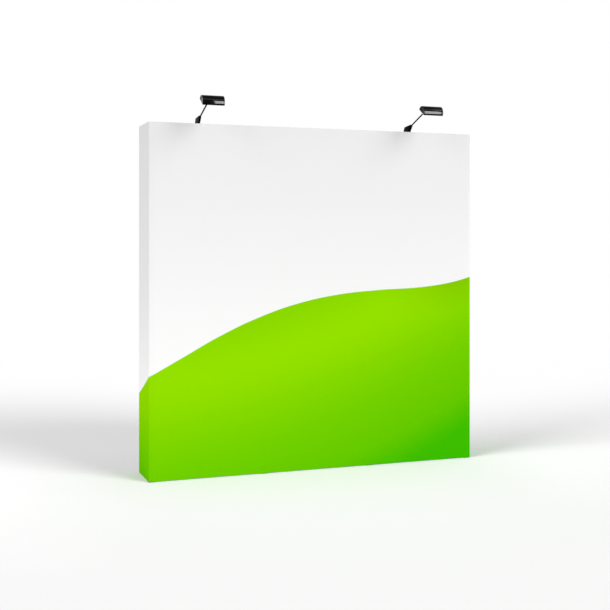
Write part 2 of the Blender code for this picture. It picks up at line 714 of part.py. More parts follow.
def build():
    for spare in list(bpy.data.objects):
        bpy.data.objects.remove(spare)
    paint = make_materials()
    shared = shared_meshes()
    # Front column 2 carries the whole frame. Every other column hangs on the pivot nearest to it.
    joint_sides = {"front": {1: 1, 2: 1, 3: -1, 4: -1}, "back": {1: 1, 2: 1, 3: -1, 4: -1}}
    for side, sides in joint_sides.items():
        for number, nearer in sides.items():
            place = pivot(number, nearer, side == "front")
            axis = build_column(side, number, place, paint, shared)
            if side == "front" and number == 2:
                add_piece("fabric_graphic", graphic_mesh(), paint["fabric"], axis)
    build_struts(1, "a", crossing(1), paint)
    build_struts(1, "b", pivot(2, -1, True), paint)
    build_struts(2, "a", pivot(2, 1, True), paint)
    build_struts(2, "b", crossing(2), paint)
    build_struts(3, "a", pivot(3, 1, True), paint)
    build_struts(3, "b", crossing(3), paint)
    build_lamp("left", 1, "b", paint, shared)
    build_lamp("right", 3, "a", paint, shared)


build()
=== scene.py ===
# Looks for the pop-up display wall: a printed fabric skin over a folding frame, with two clamp-on lamps.
# Metres, +Z up. The print faces -Y.

import json
import math

import bmesh
import bpy
from mathutils import Matrix, Vector


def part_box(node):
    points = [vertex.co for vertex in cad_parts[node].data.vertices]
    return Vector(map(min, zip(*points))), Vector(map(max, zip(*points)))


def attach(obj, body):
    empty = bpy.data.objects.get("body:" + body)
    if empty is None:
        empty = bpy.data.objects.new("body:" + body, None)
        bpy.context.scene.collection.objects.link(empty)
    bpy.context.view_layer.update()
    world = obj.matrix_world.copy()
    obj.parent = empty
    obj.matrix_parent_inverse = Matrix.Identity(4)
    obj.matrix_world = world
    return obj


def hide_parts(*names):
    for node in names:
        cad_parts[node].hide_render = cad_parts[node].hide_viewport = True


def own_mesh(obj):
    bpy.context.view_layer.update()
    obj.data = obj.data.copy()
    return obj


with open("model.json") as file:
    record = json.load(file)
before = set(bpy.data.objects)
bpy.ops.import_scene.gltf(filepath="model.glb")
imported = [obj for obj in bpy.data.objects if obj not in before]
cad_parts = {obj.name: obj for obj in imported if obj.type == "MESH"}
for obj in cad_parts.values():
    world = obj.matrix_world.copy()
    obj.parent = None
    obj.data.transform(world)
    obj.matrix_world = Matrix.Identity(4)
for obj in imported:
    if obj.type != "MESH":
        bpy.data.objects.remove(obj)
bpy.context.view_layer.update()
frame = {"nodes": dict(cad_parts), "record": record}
print("frame loaded:", len(frame["nodes"]), "nodes")
bodyOf = {node: body for body, nodes in frame["record"]["behaviour"]["bodies"].items() for node in nodes}


# Objects and their meshes

def deselectAll():
    if bpy.context.object and bpy.context.object.mode != "OBJECT":
        bpy.ops.object.mode_set(mode="OBJECT")
    bpy.ops.object.select_all(action="DESELECT")


def makeActive(piece):
    deselectAll()
    piece.select_set(True)
    bpy.context.view_layer.objects.active = piece


def giveName(piece, name):
    piece.name = name
    piece.data.name = name
    return piece


def startPiece(name):
    # Put the new piece's place into its mesh, so that its object sits at the origin
    piece = giveName(bpy.context.object, name)
    makeActive(piece)
    bpy.ops.object.transform_apply(location=True, rotation=True, scale=True)
    return piece


def addBox(name, low, high):
    deselectAll()
    middle = (Vector(low) + Vector(high)) / 2
    bpy.ops.mesh.primitive_cube_add(size=1, location=middle, scale=Vector(high) - Vector(low))
    return startPiece(name)


def addRod(name, start, end, radius, sides=24):
    # A round bar from one point to another
    deselectAll()
    run = Vector(end) - Vector(start)
    turn = run.to_track_quat("Z", "Y").to_euler()
    middle = (Vector(start) + Vector(end)) / 2
    bpy.ops.mesh.primitive_cylinder_add(vertices=sides, radius=radius, depth=run.length, location=middle,
                                        rotation=turn)
    return startPiece(name)


def duplicate(piece, name):
    # A copy with its own mesh
    copy = piece.copy()
    copy.data = piece.data.copy()
    bpy.context.collection.objects.link(copy)
    return giveName(copy, name)


def copyPiece(piece, name, place):
    # A copy moved by a matrix
    copy = duplicate(piece, name)
    copy.data.transform(place)
    return copy


def joinPieces(name, pieces):
    deselectAll()
    for piece in pieces:
        piece.select_set(True)
    bpy.context.view_layer.objects.active = pieces[0]
    bpy.ops.object.join()
    return giveName(bpy.context.object, name)


def removePieces(pieces):
    for piece in pieces:
        bpy.data.objects.remove(piece)


def applyModifier(piece, kind, **values):
    makeActive(piece)
    modifier = piece.modifiers.new(kind.lower(), kind)
    for name, value in values.items():
        setattr(modifier, name, value)
    bpy.ops.object.modifier_apply(modifier=modifier.name)


def cutWith(piece, tool, operation="DIFFERENCE"):
    applyModifier(piece, "BOOLEAN", object=tool, operation=operation, solver="EXACT")
    bpy.data.objects.remove(tool)


def roundEdges(piece, width, segments=2, angle=32):
    applyModifier(piece, "BEVEL", width=width, segments=segments, limit_method="ANGLE",
                  angle_limit=math.radians(angle), use_clamp_overlap=True)


def smoothShade(piece, angle=40):
    makeActive(piece)
    bpy.ops.object.shade_smooth_by_angle(angle=math.radians(angle))


def softenPieces(pieces, width, segments=2):
    for piece in pieces:
        roundEdges(piece, width, segments)
        smoothShade(piece)


# Edit mode

def editPiece(piece):
    makeActive(piece)
    bpy.ops.object.mode_set(mode="EDIT")


def leaveEdit():
    bpy.ops.object.mode_set(mode="OBJECT")


def pickFaces(piece, test, kind="faces"):
    # Select just the faces that pass the test
    mesh = bmesh.from_edit_mesh(piece.data)
    bpy.context.tool_settings.mesh_select_mode = (False, kind == "edges", kind == "faces")
    items = getattr(mesh, kind)
    for item in items:
        item.select_set(False)
    for item in items:
        if test(item):
            item.select_set(True)
    mesh.select_flush_mode()
    bmesh.update_edit_mesh(piece.data)


def pickEdges(piece, test):
    pickFaces(piece, test, "edges")


def pickEverything():
    bpy.ops.mesh.select_all(action="SELECT")


def slicePiece(place, way, **settings):
    # Along the plane through a point, square to a direction
    pickEverything()
    bpy.ops.mesh.bisect(plane_co=place, plane_no=way, **settings)


def extrudePicked(move):
    bpy.ops.mesh.extrude_region_move(TRANSFORM_OT_translate={"value": move})


def scalePicked(factors, middle):
    bpy.ops.transform.resize(value=factors, center_override=middle)


def insetFaces(piece, test, thickness, move=None, **settings):
    # Inset the faces that pass the test, and move what is inside
    pickFaces(piece, test)
    bpy.ops.mesh.inset(thickness=thickness, **settings)
    if move:
        bpy.ops.transform.translate(value=move)


def addBands(piece, axis, bands, offset):
    # Offset the sides of a piece between places along an axis
    way = Vector([float(index == axis) for index in range(3)])
    for cut in sum(bands, ()):
        slicePiece(way * cut, way)
    pickFaces(piece, lambda f: abs(f.normal[axis]) < 0.2 and any(
        low < f.calc_center_median()[axis] < high for low, high in bands))
    bpy.ops.mesh.extrude_region_shrink_fatten(TRANSFORM_OT_shrink_fatten={"value": offset})


def roundedCopy(node, name, width):
    # A CAD node's own shape with its faces merged and its edges rounded
    copy = duplicate(frame["nodes"][node], name)
    copy.parent = None
    copy.matrix_world = Matrix.Identity(4)
    copy.hide_render = False
    editPiece(copy)
    pickEverything()
    bpy.ops.mesh.remove_doubles(threshold=0.00001)
    bpy.ops.mesh.dissolve_limited(angle_limit=math.radians(2))
    leaveEdit()
    softenPieces([copy], width)
    return copy


# Materials

def setInputs(tree, node, values):
    # Each value is a plain one or a socket to link
    for name, value in values.items():
        if isinstance(value, bpy.types.NodeSocket):
            tree.links.new(value, node.inputs[name])
        else:
            node.inputs[name].default_value = value


def addNode(tree, kind, values=None, **settings):
    node = tree.nodes.new(kind)
    for name, value in settings.items():
        setattr(node, name, value)
    setInputs(tree, node, values or {})
    return node


def newMaterial(name):
    material = bpy.data.materials.new(name)
    material.use_nodes = True
    tree = material.node_tree
    tree.nodes.clear()
    shader = addNode(tree, "ShaderNodeBsdfPrincipled")
    addNode(tree, "ShaderNodeOutputMaterial", {"Surface": shader.outputs["BSDF"]})
    return material, tree, shader


def addMath(tree, operation, *sources):
    # Of sockets and plain numbers
    return addNode(tree, "ShaderNodeMath", dict(enumerate(sources)), operation=operation).outputs["Value"]


def addRange(tree, source, low, high, toLow=0.0, toHigh=1.0, interpolation="LINEAR"):
    # The source's range from low to high, mapped to another
    values = {"Value": source, "From Min": low, "From Max": high, "To Min": toLow, "To Max": toHigh}
    return addNode(tree, "ShaderNodeMapRange", values, interpolation_type=interpolation).outputs["Result"]


def addScaled(tree, colour, scale):
    node = addNode(tree, "ShaderNodeVectorMath", {0: colour, "Scale": scale}, operation="SCALE")
    return node.outputs["Vector"]


def addMix(tree, factor, first, second):
    values = {"Factor": factor, "A": first, "B": second}
    return addNode(tree, "ShaderNodeMix", values, data_type="RGBA").outputs["Result"]


def addRamp(tree, source, stops, interpolation="LINEAR"):
    ramp = addNode(tree, "ShaderNodeValToRGB", {"Fac": source})
    ramp.color_ramp.interpolation = interpolation
    elements = ramp.color_ramp.elements
    while len(elements) < len(stops):
        elements.new(0.5)
    for element, (place, colour) in zip(elements, stops):
        element.position = place
        element.color = (*colour, 1.0)
    return ramp.outputs["Color"]


def addBump(tree, shader, height, strength, distance):
    values = {"Height": height, "Strength": strength, "Distance": distance}
    setInputs(tree, shader, {"Normal": addNode(tree, "ShaderNodeBump", values).outputs["Normal"]})


def toLinear(*levels):
    # Screen colour from 0 to 255 as Blender's linear colour
    shares = [level / 255 for level in levels]
    return tuple(share / 12.92 if share <= 0.04045 else ((share + 0.055) / 1.055) ** 2.4 for share in shares)


def makeSurfaceGroup():
    # Fine grain and broad smudges, shared by the moulded, painted, metal and rubber finishes
    group = bpy.data.node_groups.new("surfaceVariation", "ShaderNodeTree")
    for name, way, kind in (("Grain Scale", "INPUT", "Float"), ("Smudge Scale", "INPUT", "Float"),
                            ("Stretch", "INPUT", "Vector"), ("Grain", "OUTPUT", "Float"),
                            ("Smudge", "OUTPUT", "Float")):
        group.interface.new_socket(name, in_out=way, socket_type=f"NodeSocket{kind}")
    start = addNode(group, "NodeGroupInput").outputs
    place = addNode(group, "ShaderNodeTexCoord").outputs["Object"]
    stretch = addNode(group, "ShaderNodeVectorMath", {0: place, 1: start["Stretch"]}, operation="MULTIPLY")
    outputs = {}
    for name, detail in (("Grain", 3.0), ("Smudge", 2.0)):
        values = {"Vector": stretch.outputs["Vector"], "Scale": start[f"{name} Scale"], "Detail": detail,
                  "Roughness": 0.6}
        outputs[name] = addNode(group, "ShaderNodeTexNoise", values).outputs["Fac"]
    addNode(group, "NodeGroupOutput", outputs)
    return group


surfaceGroup = makeSurfaceGroup()


def addSurface(tree, grainScale, smudgeScale, stretch=(1, 1, 1)):
    values = {"Grain Scale": grainScale, "Smudge Scale": smudgeScale, "Stretch": stretch}
    node = addNode(tree, "ShaderNodeGroup", values, node_tree=surfaceGroup)
    return node.outputs["Grain"], node.outputs["Smudge"]


# One finish for each kind of moulded, metal or painted part
finishes = {
    "anodisedAluminium": dict(dark=(0.50, 0.51, 0.52), light=(0.68, 0.69, 0.70), rough=(0.30, 0.44),
                              metallic=1.0, grain=900, smudge=9, stretch=(1, 1, 0.04), bump=0.08),
    "blackNylon": dict(dark=(0.012, 0.012, 0.013), light=(0.030, 0.030, 0.032), rough=(0.42, 0.6),
                       grain=1400, smudge=40, bump=0.25),
    "zincSteel": dict(dark=(0.42, 0.42, 0.44), light=(0.62, 0.62, 0.63), rough=(0.22, 0.40), metallic=1.0,
                      grain=1200, smudge=120, bump=0.06),
    "blackRubber": dict(dark=(0.010, 0.010, 0.010), light=(0.035, 0.034, 0.033), rough=(0.75, 0.95),
                        grain=1100, smudge=30, bump=0.4),
    "hookTape": dict(dark=(0.55, 0.55, 0.54), light=(0.80, 0.80, 0.78), rough=(0.85, 1.0),
                     grain=1600, smudge=60, bump=1.0),
    "chipYellow": dict(dark=(0.80, 0.62, 0.10), light=(0.90, 0.74, 0.20), rough=(0.2, 0.3),
                       grain=900, smudge=300, bump=0.03),
    "ledBoard": dict(dark=(0.74, 0.74, 0.70), light=(0.88, 0.88, 0.84), rough=(0.35, 0.5),
                     grain=700, smudge=80, bump=0.05),
    "glossBlack": dict(dark=(0.0006, 0.0006, 0.0007), light=(0.0016, 0.0016, 0.0018), rough=(0.07, 0.11),
                       specular=0.04, lightFrom=0.75, grain=500, smudge=30, bump=0.006, relief=0.0002),
    "blackCoat": dict(dark=(0.0006, 0.0006, 0.0007), light=(0.0022, 0.0022, 0.0024), rough=(0.34, 0.48),
                      specular=0.01, lightFrom=0.75, grain=2200, smudge=60, bump=0.08, relief=0.0002),
}


def makeFinish(name):
    kind = {"stretch": (1, 1, 1), "metallic": 0.0, "specular": 0.5, "lightFrom": 0.7, "relief": 0.0003,
            **finishes[name]}
    material, tree, shader = newMaterial(name)
    grain, smudge = addSurface(tree, kind["grain"], kind["smudge"], kind["stretch"])
    setInputs(tree, shader, {
        "Base Color": addRamp(tree, smudge, [(0.3, kind["dark"]), (kind["lightFrom"], kind["light"])]),
        "Roughness": addRange(tree, smudge, 0.3, 0.7, *kind["rough"]),
        "Metallic": kind["metallic"],
        "Specular IOR Level": kind["specular"],
    })
    addBump(tree, shader, grain, kind["bump"], kind["relief"])
    return material


def makeFrostedLens():
    material, tree, shader = newMaterial("frostedLens")
    smudge = addSurface(tree, 1500, 25)[1]
    setInputs(tree, shader, {
        "Base Color": addRamp(tree, smudge, [(0.3, (0.78, 0.79, 0.79)), (0.7, (0.86, 0.87, 0.87))]),
        "Roughness": 0.32,
        "Subsurface Weight": 0.25,
        "Subsurface Scale": 0.004,
    })
    # Fine ribs along the lens spread the light
    place = addNode(tree, "ShaderNodeTexCoord").outputs["Object"]
    ribs = addNode(tree, "ShaderNodeTexWave", {"Vector": place, "Scale": 90.0}, wave_type="BANDS",
                   bands_direction="X")
    addBump(tree, shader, ribs.outputs["Fac"], 0.25, 0.0004)
    return material


materials = {name: makeFinish(name) for name in finishes}
materials["frostedLens"] = makeFrostedLens()
print("finishes made:", len(materials))


def dress(piece, finish, node):
    # Give a piece its material, and the body of the CAD node that it stands for
    piece.data.materials.clear()
    piece.data.materials.append(materials[finish])
    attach(piece, bodyOf[node])
    return piece


def dressNode(node, finish):
    for slot in frame["nodes"][node].material_slots:
        slot.material = materials[finish]


# The printed fabric skin. Its UV map is the flat sheet in metres: along it from the back edge of the left
# end, and up it from the floor.
skinSettings = {
    "thickness": 0.0011,
    "cornerRadius": 0.0038,
    "columns": 48,
    "rows": 48,
    "returnSteps": 6,
    "hem": 0.012,
    "folded": 0.189,  # how far the columns come together
}
skinLow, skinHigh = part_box("fabric_graphic")
wallWidth = skinHigh.x - skinLow.x
wallDepth = skinHigh.y - skinLow.y
wallHeight = skinHigh.z
flatLength = wallWidth + 2 * wallDepth


def unroll(piece):
    # UVs in metres, continuous round both corners
    while piece.data.uv_layers:
        piece.data.uv_layers.remove(piece.data.uv_layers[0])
    layer = piece.data.uv_layers.new(name="flatSheet")
    for loop in piece.data.loops:
        spot = piece.data.vertices[loop.vertex_index].co
        along = wallDepth + spot.x - skinLow.x
        behind = spot.y - skinLow.y
        layer.data[loop.index].uv = (along - behind if spot.x < 0 else along + behind, spot.z)


def markReverse(piece):
    # 1 on the faces that look into the frame
    layer = piece.data.attributes.new("reverseSide", "FLOAT", "FACE")
    for face in piece.data.polygons:
        outward = math.copysign(1, face.center.x) * face.normal.x - face.normal.y
        layer.data[face.index].value = 1.0 if outward < -0.1 else 0.0


def buildSkin():
    deselectAll()
    middle = ((skinLow.x + skinHigh.x) / 2, skinLow.y, (skinLow.z + skinHigh.z) / 2)
    bpy.ops.mesh.primitive_grid_add(
        x_subdivisions=skinSettings["columns"], y_subdivisions=skinSettings["rows"], size=wallWidth,
        location=middle, rotation=(math.pi / 2, 0, 0))
    skin = startPiece("graphicSkin")
    editPiece(skin)
    scalePicked((1, 1, (skinHigh.z - skinLow.z) / wallWidth), middle)
    step = wallDepth / skinSettings["returnSteps"]
    for edge in (skinLow.x, skinHigh.x):
        back = skinLow.y
        for _ in range(skinSettings["returnSteps"]):
            pickEdges(skin, lambda e: e.is_boundary and all(
                abs(v.co.x - edge) < 0.0001 and abs(v.co.y - back) < 0.0001 for v in e.verts))
            extrudePicked((0, step, 0))
            back += step
    pickEdges(skin, lambda e: all(
        abs(abs(v.co.x) - wallWidth / 2) < 0.0001 and abs(v.co.y - skinLow.y) < 0.0001 for v in e.verts))
    bpy.ops.mesh.bevel(offset=skinSettings["cornerRadius"], segments=5, profile=0.5)
    pickEverything()
    bpy.ops.mesh.normals_make_consistent(inside=False)
    leaveEdit()
    # Outwards is -Y on the front
    if sum(face.normal.y * face.area for face in skin.data.polygons) > 0:
        skin.data.flip_normals()
    applyModifier(skin, "SOLIDIFY", thickness=skinSettings["thickness"], offset=-1.0)
    unroll(skin)
    markReverse(skin)
    smoothShade(skin, 35)
    return skin


# Where the green starts, as shares of the flat sheet's length and of the wall's height
waveShares = [
    (0.0, 0.2297), (0.1068, 0.2922), (0.175, 0.3377), (0.2658, 0.3992), (0.359, 0.4507), (0.455, 0.4891),
    (0.554, 0.5124), (0.655, 0.5235), (0.7596, 0.5298), (0.84, 0.5429), (0.893, 0.5597), (1.0, 0.6072)]
# The green runs from deep to light and a little back, against height less a curve along the front
greenStops = [
    (0.0, (56, 187, 0)), (0.09, (83, 194, 0)), (0.18, (102, 199, 0)), (0.40, (114, 206, 0)),
    (0.58, (132, 214, 0)), (0.74, (149, 224, 0)), (0.86, (148, 224, 0)), (1.0, (134, 212, 0))]
# The white ground, from the floor up, paler towards the floor: painted bounce light off the floor
whiteAndBounceStops = [
    (0.25, (255, 255, 255)), (0.45, (250, 250, 250)), (0.6, (246, 246, 246)), (0.8, (242, 242, 242)),
    (0.94, (240, 240, 240)), (1.0, (238, 238, 238))]
printSettings = {
    "edgeBlur": 0.0006,  # of the wave's edge, as a share of the wall's height
    "linear": 0.25,  # the two parts of the green's curve along the front
    "squared": 0.5,
    "lowest": -0.52,  # the green's tones lie between these heights
    "highest": 0.90,
    "endsShadeBelow": 0.45,  # painted shade: both ends are of a deeper tone from this height down, where less light reaches them near the floor
    "endsPaintedShade": 0.6,
    "bounceShares": (0.5, 0.1),  # and lighter with painted bounce light off the floor, from and to these shares of the height
    "endsPaintedBounce": 0.13,
    "edgeDeeper": 0.2,  # the green deepens towards its edge at the right
    "edgeShare": 0.09,
    "rightShares": (0.7, 0.95),
    "level": 0.90,  # the ink and the white ground are a little under the screen's own white
    "mottle": 0.012,
    "reverse": 0.86,  # how much of the reverse is its own colour: the print shows through the rest
    "reverseColour": (0.90, 0.91, 0.90, 1.0),
    "loops": 320.0,
    "stitches": 330.0,
}


def addWaveEdge(tree, source):
    curve = addNode(tree, "ShaderNodeFloatCurve", {"Value": source})
    points = curve.mapping.curves[0].points
    while len(points) < len(waveShares):
        points.new(0.5, 0.5)
    for point, share in zip(points, waveShares):
        point.location = share
        point.handle_type = "AUTO"
    curve.mapping.update()
    return curve.outputs["Value"]


def makePrintedFabric():
    material, tree, shader = newMaterial("printedFabric")
    kind = printSettings

    def maths(operation, *sources):
        return addMath(tree, operation, *sources)

    uv = addNode(tree, "ShaderNodeUVMap", uv_map="flatSheet").outputs["UV"]
    split = addNode(tree, "ShaderNodeSeparateXYZ", {"Vector": uv})
    along, height = split.outputs["X"], split.outputs["Y"]
    heightShare = maths("DIVIDE", height, wallHeight)
    below = maths("SUBTRACT", addWaveEdge(tree, maths("DIVIDE", along, flatLength)), heightShare)
    inked = addRange(tree, below, -kind["edgeBlur"], kind["edgeBlur"])
    # The green's tone
    frontShare = maths("DIVIDE", maths("SUBTRACT", along, wallDepth), wallWidth)
    squared = maths("MULTIPLY", frontShare, maths("ABSOLUTE", frontShare))
    tone = maths("SUBTRACT", maths("SUBTRACT", height, maths("MULTIPLY", frontShare, kind["linear"])),
                 maths("MULTIPLY", squared, kind["squared"]))
    onEnds = maths("GREATER_THAN", maths("ABSOLUTE", maths("SUBTRACT", frontShare, 0.5)), 0.5)
    # Painted shade: the green on both ends deepens towards the floor
    low = maths("MAXIMUM", maths("SUBTRACT", kind["endsShadeBelow"], height), 0.0)
    tone = maths("SUBTRACT", tone, maths("MULTIPLY", maths("MULTIPLY", low, kind["endsPaintedShade"]), onEnds))
    green = addRamp(tree, addRange(tree, tone, kind["lowest"], kind["highest"]),
                    [(place, toLinear(*colour)) for place, colour in greenStops], "B_SPLINE")
    deeper = maths("MULTIPLY", addRange(tree, below, kind["edgeShare"], 0.0, 0.0, kind["edgeDeeper"]),
                   addRange(tree, frontShare, *kind["rightShares"]))
    green = addScaled(tree, green, maths("SUBTRACT", 1.0, deeper))
    # The white ground with its painted bounce light, paler towards the floor
    white = addRamp(tree, heightShare, [(place, toLinear(*colour)) for place, colour in whiteAndBounceStops])
    ink = addMix(tree, inked, white, green)
    # Knitted loops, too fine to see from afar, and a slightly uneven ground
    waves = [addNode(tree, "ShaderNodeTexWave",
                     {"Vector": uv, "Scale": kind["loops"], "Distortion": 0.6, "Detail": 1.0},
                     wave_type="BANDS", bands_direction=way).outputs["Fac"] for way in "XY"]
    loops = maths("MULTIPLY", *waves)
    mottle = addNode(tree, "ShaderNodeTexNoise", {"Vector": uv, "Scale": 220.0, "Detail": 2.0}).outputs["Fac"]
    level = addRange(tree, mottle, 0.0, 1.0, kind["level"] - kind["mottle"], kind["level"] + kind["mottle"])
    # Painted bounce light: both ends get lighter towards the floor
    paler = addRange(tree, heightShare, *kind["bounceShares"], 0.0, kind["endsPaintedBounce"])
    endsBounceLift = maths("ADD", maths("MULTIPLY", paler, onEnds), 1.0)
    # The reverse is unprinted, and the print shows through it faintly
    reverse = addNode(tree, "ShaderNodeAttribute", attribute_name="reverseSide").outputs["Fac"]
    sides = addMix(tree, maths("MULTIPLY", reverse, kind["reverse"]), ink, kind["reverseColour"])
    # The stitched hem along the lower and the upper edge
    fromEdge = maths("MINIMUM", maths("SUBTRACT", height, skinLow.z), maths("SUBTRACT", wallHeight, height))
    fromSeam = maths("ABSOLUTE", maths("SUBTRACT", fromEdge, skinSettings["hem"]))
    stitches = maths("GREATER_THAN", maths("FRACT", maths("MULTIPLY", along, kind["stitches"])), 0.3)
    seam = maths("MULTIPLY", addRange(tree, fromSeam, 0.0, 0.0012, 1.0, 0.0), stitches)
    addBump(tree, shader, maths("SUBTRACT", maths("MULTIPLY", loops, 0.35), seam), 0.35, 0.0004)
    setInputs(tree, shader, {
        "Base Color": addScaled(tree, sides, maths("MULTIPLY", level, endsBounceLift)),
        "Roughness": 0.82,
        "Specular IOR Level": 0.0,
    })
    return material


materials["printedFabric"] = makePrintedFabric()
skin = dress(buildSkin(), "printedFabric", "fabric_graphic")
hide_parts("fabric_graphic")
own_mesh(skin)
for n in (1, 2, 3, 4):
    dressNode(f"hook_tape_{n}", "hookTape")
print("skin made:", len(skin.data.polygons), "faces")


# The folding frame, from the same values as the CAD
frameSettings = {
    "columns": (-1.1065, -0.368833, 0.368833, 1.1065),
    "rows": (0.05, 0.766667, 1.483333, 2.2),
    "frontHub": -0.0472,  # open edge of the front channels
    "backHub": 0.228,
    "pivotReach": 0.022,
    "pivotSpread": 0.014,
    "strutAngle": math.radians(18.0449),
    "strutLength": 0.746377,
    "layer": 0.008967,  # a strut's middle above or below its plate's
    "upper": ("1b", "2a", "3a"),
}
columnXs = frameSettings["columns"]
rowZs = frameSettings["rows"]
pivotReach, pivotSpread = frameSettings["pivotReach"], frameSettings["pivotSpread"]
frontPivotY = frameSettings["frontHub"] + pivotReach
backPivotY = frameSettings["backHub"] - pivotReach
upsideDown = Matrix.Rotation(math.pi, 4, "X")
aboutFace = Matrix.Rotation(math.pi, 4, "Z")


def layerOf(letters):
    return 1 if letters in frameSettings["upper"] else -1


def hubPlace(column, isFront, z=0.0):
    # Hub pieces are drawn about the middle of the channel's open edge, with the frame's inside at +Y
    if isFront:
        return Matrix.Translation((columnXs[column], frameSettings["frontHub"], z))
    return Matrix.Translation((columnXs[column], frameSettings["backHub"], z)) @ aboutFace


channelSettings = {
    "width": 0.044,
    "depth": 0.014,
    "wall": 0.0018,
    "low": 0.0123,
    "high": 2.244,
    "groove": 0.0012,
    "grooveDepth": 0.0005,
    "grooveX": 0.009,
    "capLow": 2.230,
    "fit": 0.0003,
    "hubFit": 0.0002,
}
channelHalf, channelDepth = channelSettings["width"] / 2, channelSettings["depth"]


def buildChannel():
    # A folded-back channel: the box's inner side and its ends go, then the walls get their thickness
    grooveX = channelSettings["grooveX"]
    channel = addBox("channel", (-channelHalf, -channelDepth, channelSettings["low"]),
                     (channelHalf, 0, channelSettings["high"]))
    editPiece(channel)
    pickFaces(channel, lambda f: f.normal.y > 0.9 or abs(f.normal.z) > 0.9)
    bpy.ops.mesh.delete(type="FACE")
    # Two shallow grooves down the outer face
    for side in (-1, 1):
        for step in (-0.5, 0.5):
            slicePiece((side * grooveX + step * channelSettings["groove"], 0, 0), (1, 0, 0))
    leaveEdit()
    applyModifier(channel, "SOLIDIFY", thickness=channelSettings["wall"], offset=-1.0)
    editPiece(channel)
    pickEverything()
    bpy.ops.mesh.normals_make_consistent(inside=False)
    insetFaces(channel, lambda f: f.normal.y < -0.9 and f.calc_center_median().y < 0.0005 - channelDepth
               and abs(abs(f.calc_center_median().x) - grooveX) < 0.0004,
               0.00005, (0, channelSettings["grooveDepth"], 0))
    leaveEdit()
    roundEdges(channel, 0.0004, 2, 40)
    smoothShade(channel)
    return channel


def buildCap():
    # A plug in the channel's top end
    inset = channelSettings["wall"] + channelSettings["fit"]
    cap = addBox("cap", (inset - channelHalf, inset - channelDepth, channelSettings["capLow"]),
                 (channelHalf - inset, -0.0004, channelSettings["high"] - 0.0002))
    editPiece(cap)
    insetFaces(cap, lambda f: f.normal.z > 0.9, 0.0025, (0, 0, -0.0012))
    insetFaces(cap, lambda f: f.normal.y > 0.9, 0.002, (0, -0.0015, 0))
    leaveEdit()
    softenPieces([cap], 0.0004)
    return cap


hubSettings = {
    "padHeight": 0.040,
    "panel": 0.0028,
    "panelDepth": 0.004,
    "plate": 0.004,
    "lug": 0.008,
    "notch": 0.0115,
    "boss": 0.0062,
    "gusset": 0.0085,
    "gussetHeight": 0.012,
    "gussetXs": (-0.019, 0.0, 0.019),
    "pinRadius": 0.003,
    "pinTop": 0.0174,
    "clipLow": 0.01585,
    "clipHigh": 0.0167,
    "clipRadius": 0.0052,
}


def buildHub():
    # The block in the channel, the level plate with its two round lugs, and gussets between them
    inset = channelSettings["wall"] + channelSettings["hubFit"]
    padHalf, plateHalf = hubSettings["padHeight"] / 2, hubSettings["plate"] / 2
    pad = addBox("hub", (inset - channelHalf, inset - channelDepth, -padHalf),
                 (channelHalf - inset, -0.0006, padHalf))
    editPiece(pad)
    # A sunk panel above and below the plate
    for z in (-0.003, 0.003):
        slicePiece((0, 0, z), (0, 0, 1))
    insetFaces(pad, lambda f: f.normal.y > 0.9 and abs(f.calc_center_median().z) > 0.005,
               hubSettings["panel"], use_individual=True)
    extrudePicked((0, -hubSettings["panelDepth"], 0))
    leaveEdit()
    # The plate spans the lugs, its outer corners are round, and it has a waist between them
    lug = hubSettings["lug"]
    plateX, plateY = pivotSpread + lug - 0.0009, pivotReach + lug
    plate = addBox("hubPlate", (-plateX, -0.006, -plateHalf), (plateX, plateY, plateHalf))
    editPiece(plate)
    pickEdges(plate, lambda e: abs((e.verts[0].co - e.verts[1].co).z) > 0.003
              and e.verts[0].co.y > pivotReach)
    bpy.ops.mesh.bevel(offset=lug - 0.0006, segments=8, profile=0.5)
    leaveEdit()
    waistY = plateY + 0.006
    cutWith(plate, addRod("notch", (0, waistY, -0.01), (0, waistY, 0.01), hubSettings["notch"], 40))
    parts = [pad, plate]
    for x in hubSettings["gussetXs"]:
        # Sloped from the block's face down to the plate
        gusset = addBox("gusset", (x - 0.0011, -0.003, -hubSettings["gussetHeight"]),
                        (x + 0.0011, hubSettings["gusset"], hubSettings["gussetHeight"]))
        editPiece(gusset)
        pickEdges(gusset, lambda e: e.verts[0].co.y > 0.002 and e.verts[1].co.y > 0.002
                  and abs((e.verts[0].co - e.verts[1].co).x) > 0.001)
        scalePicked((1, 1, 0.3), (x, 0, 0))
        leaveEdit()
        parts.append(gusset)
    for x in (-pivotSpread, pivotSpread):
        parts.append(addRod("boss", (x, pivotReach, -0.00225), (x, pivotReach, 0.00225),
                            hubSettings["boss"], 32))
    softenPieces(parts, 0.00035)
    return joinPieces("hub", parts)


def buildPin():
    # A round pin up from the plate, chamfered, with a clip over the strut
    pin = addRod("pin", (0, 0, -0.0025), (0, 0, hubSettings["pinTop"]), hubSettings["pinRadius"], 24)
    editPiece(pin)
    insetFaces(pin, lambda f: abs(f.normal.z) > 0.9, 0.0009)
    leaveEdit()
    softenPieces([pin], 0.0005)
    low, high = hubSettings["clipLow"], hubSettings["clipHigh"]
    clip = addRod("clip", (0, 0, low), (0, 0, high), hubSettings["clipRadius"], 32)
    editPiece(clip)
    insetFaces(clip, lambda f: abs(f.normal.z) > 0.9, 0.0016)
    scalePicked((1, 1, 0.6), (0, 0, (low + high) / 2))
    leaveEdit()
    softenPieces([clip], 0.00015)
    return joinPieces("pin", [pin, clip])


def usedPivots(column, isFront):
    # The side and layer of each strut at a hub. The a struts run from front left to back right
    found = []
    if column < 3:
        found.append((1, layerOf(f"{column + 1}{'a' if isFront else 'b'}")))
    if column > 0:
        found.append((-1, layerOf(f"{column}{'b' if isFront else 'a'}")))
    return found


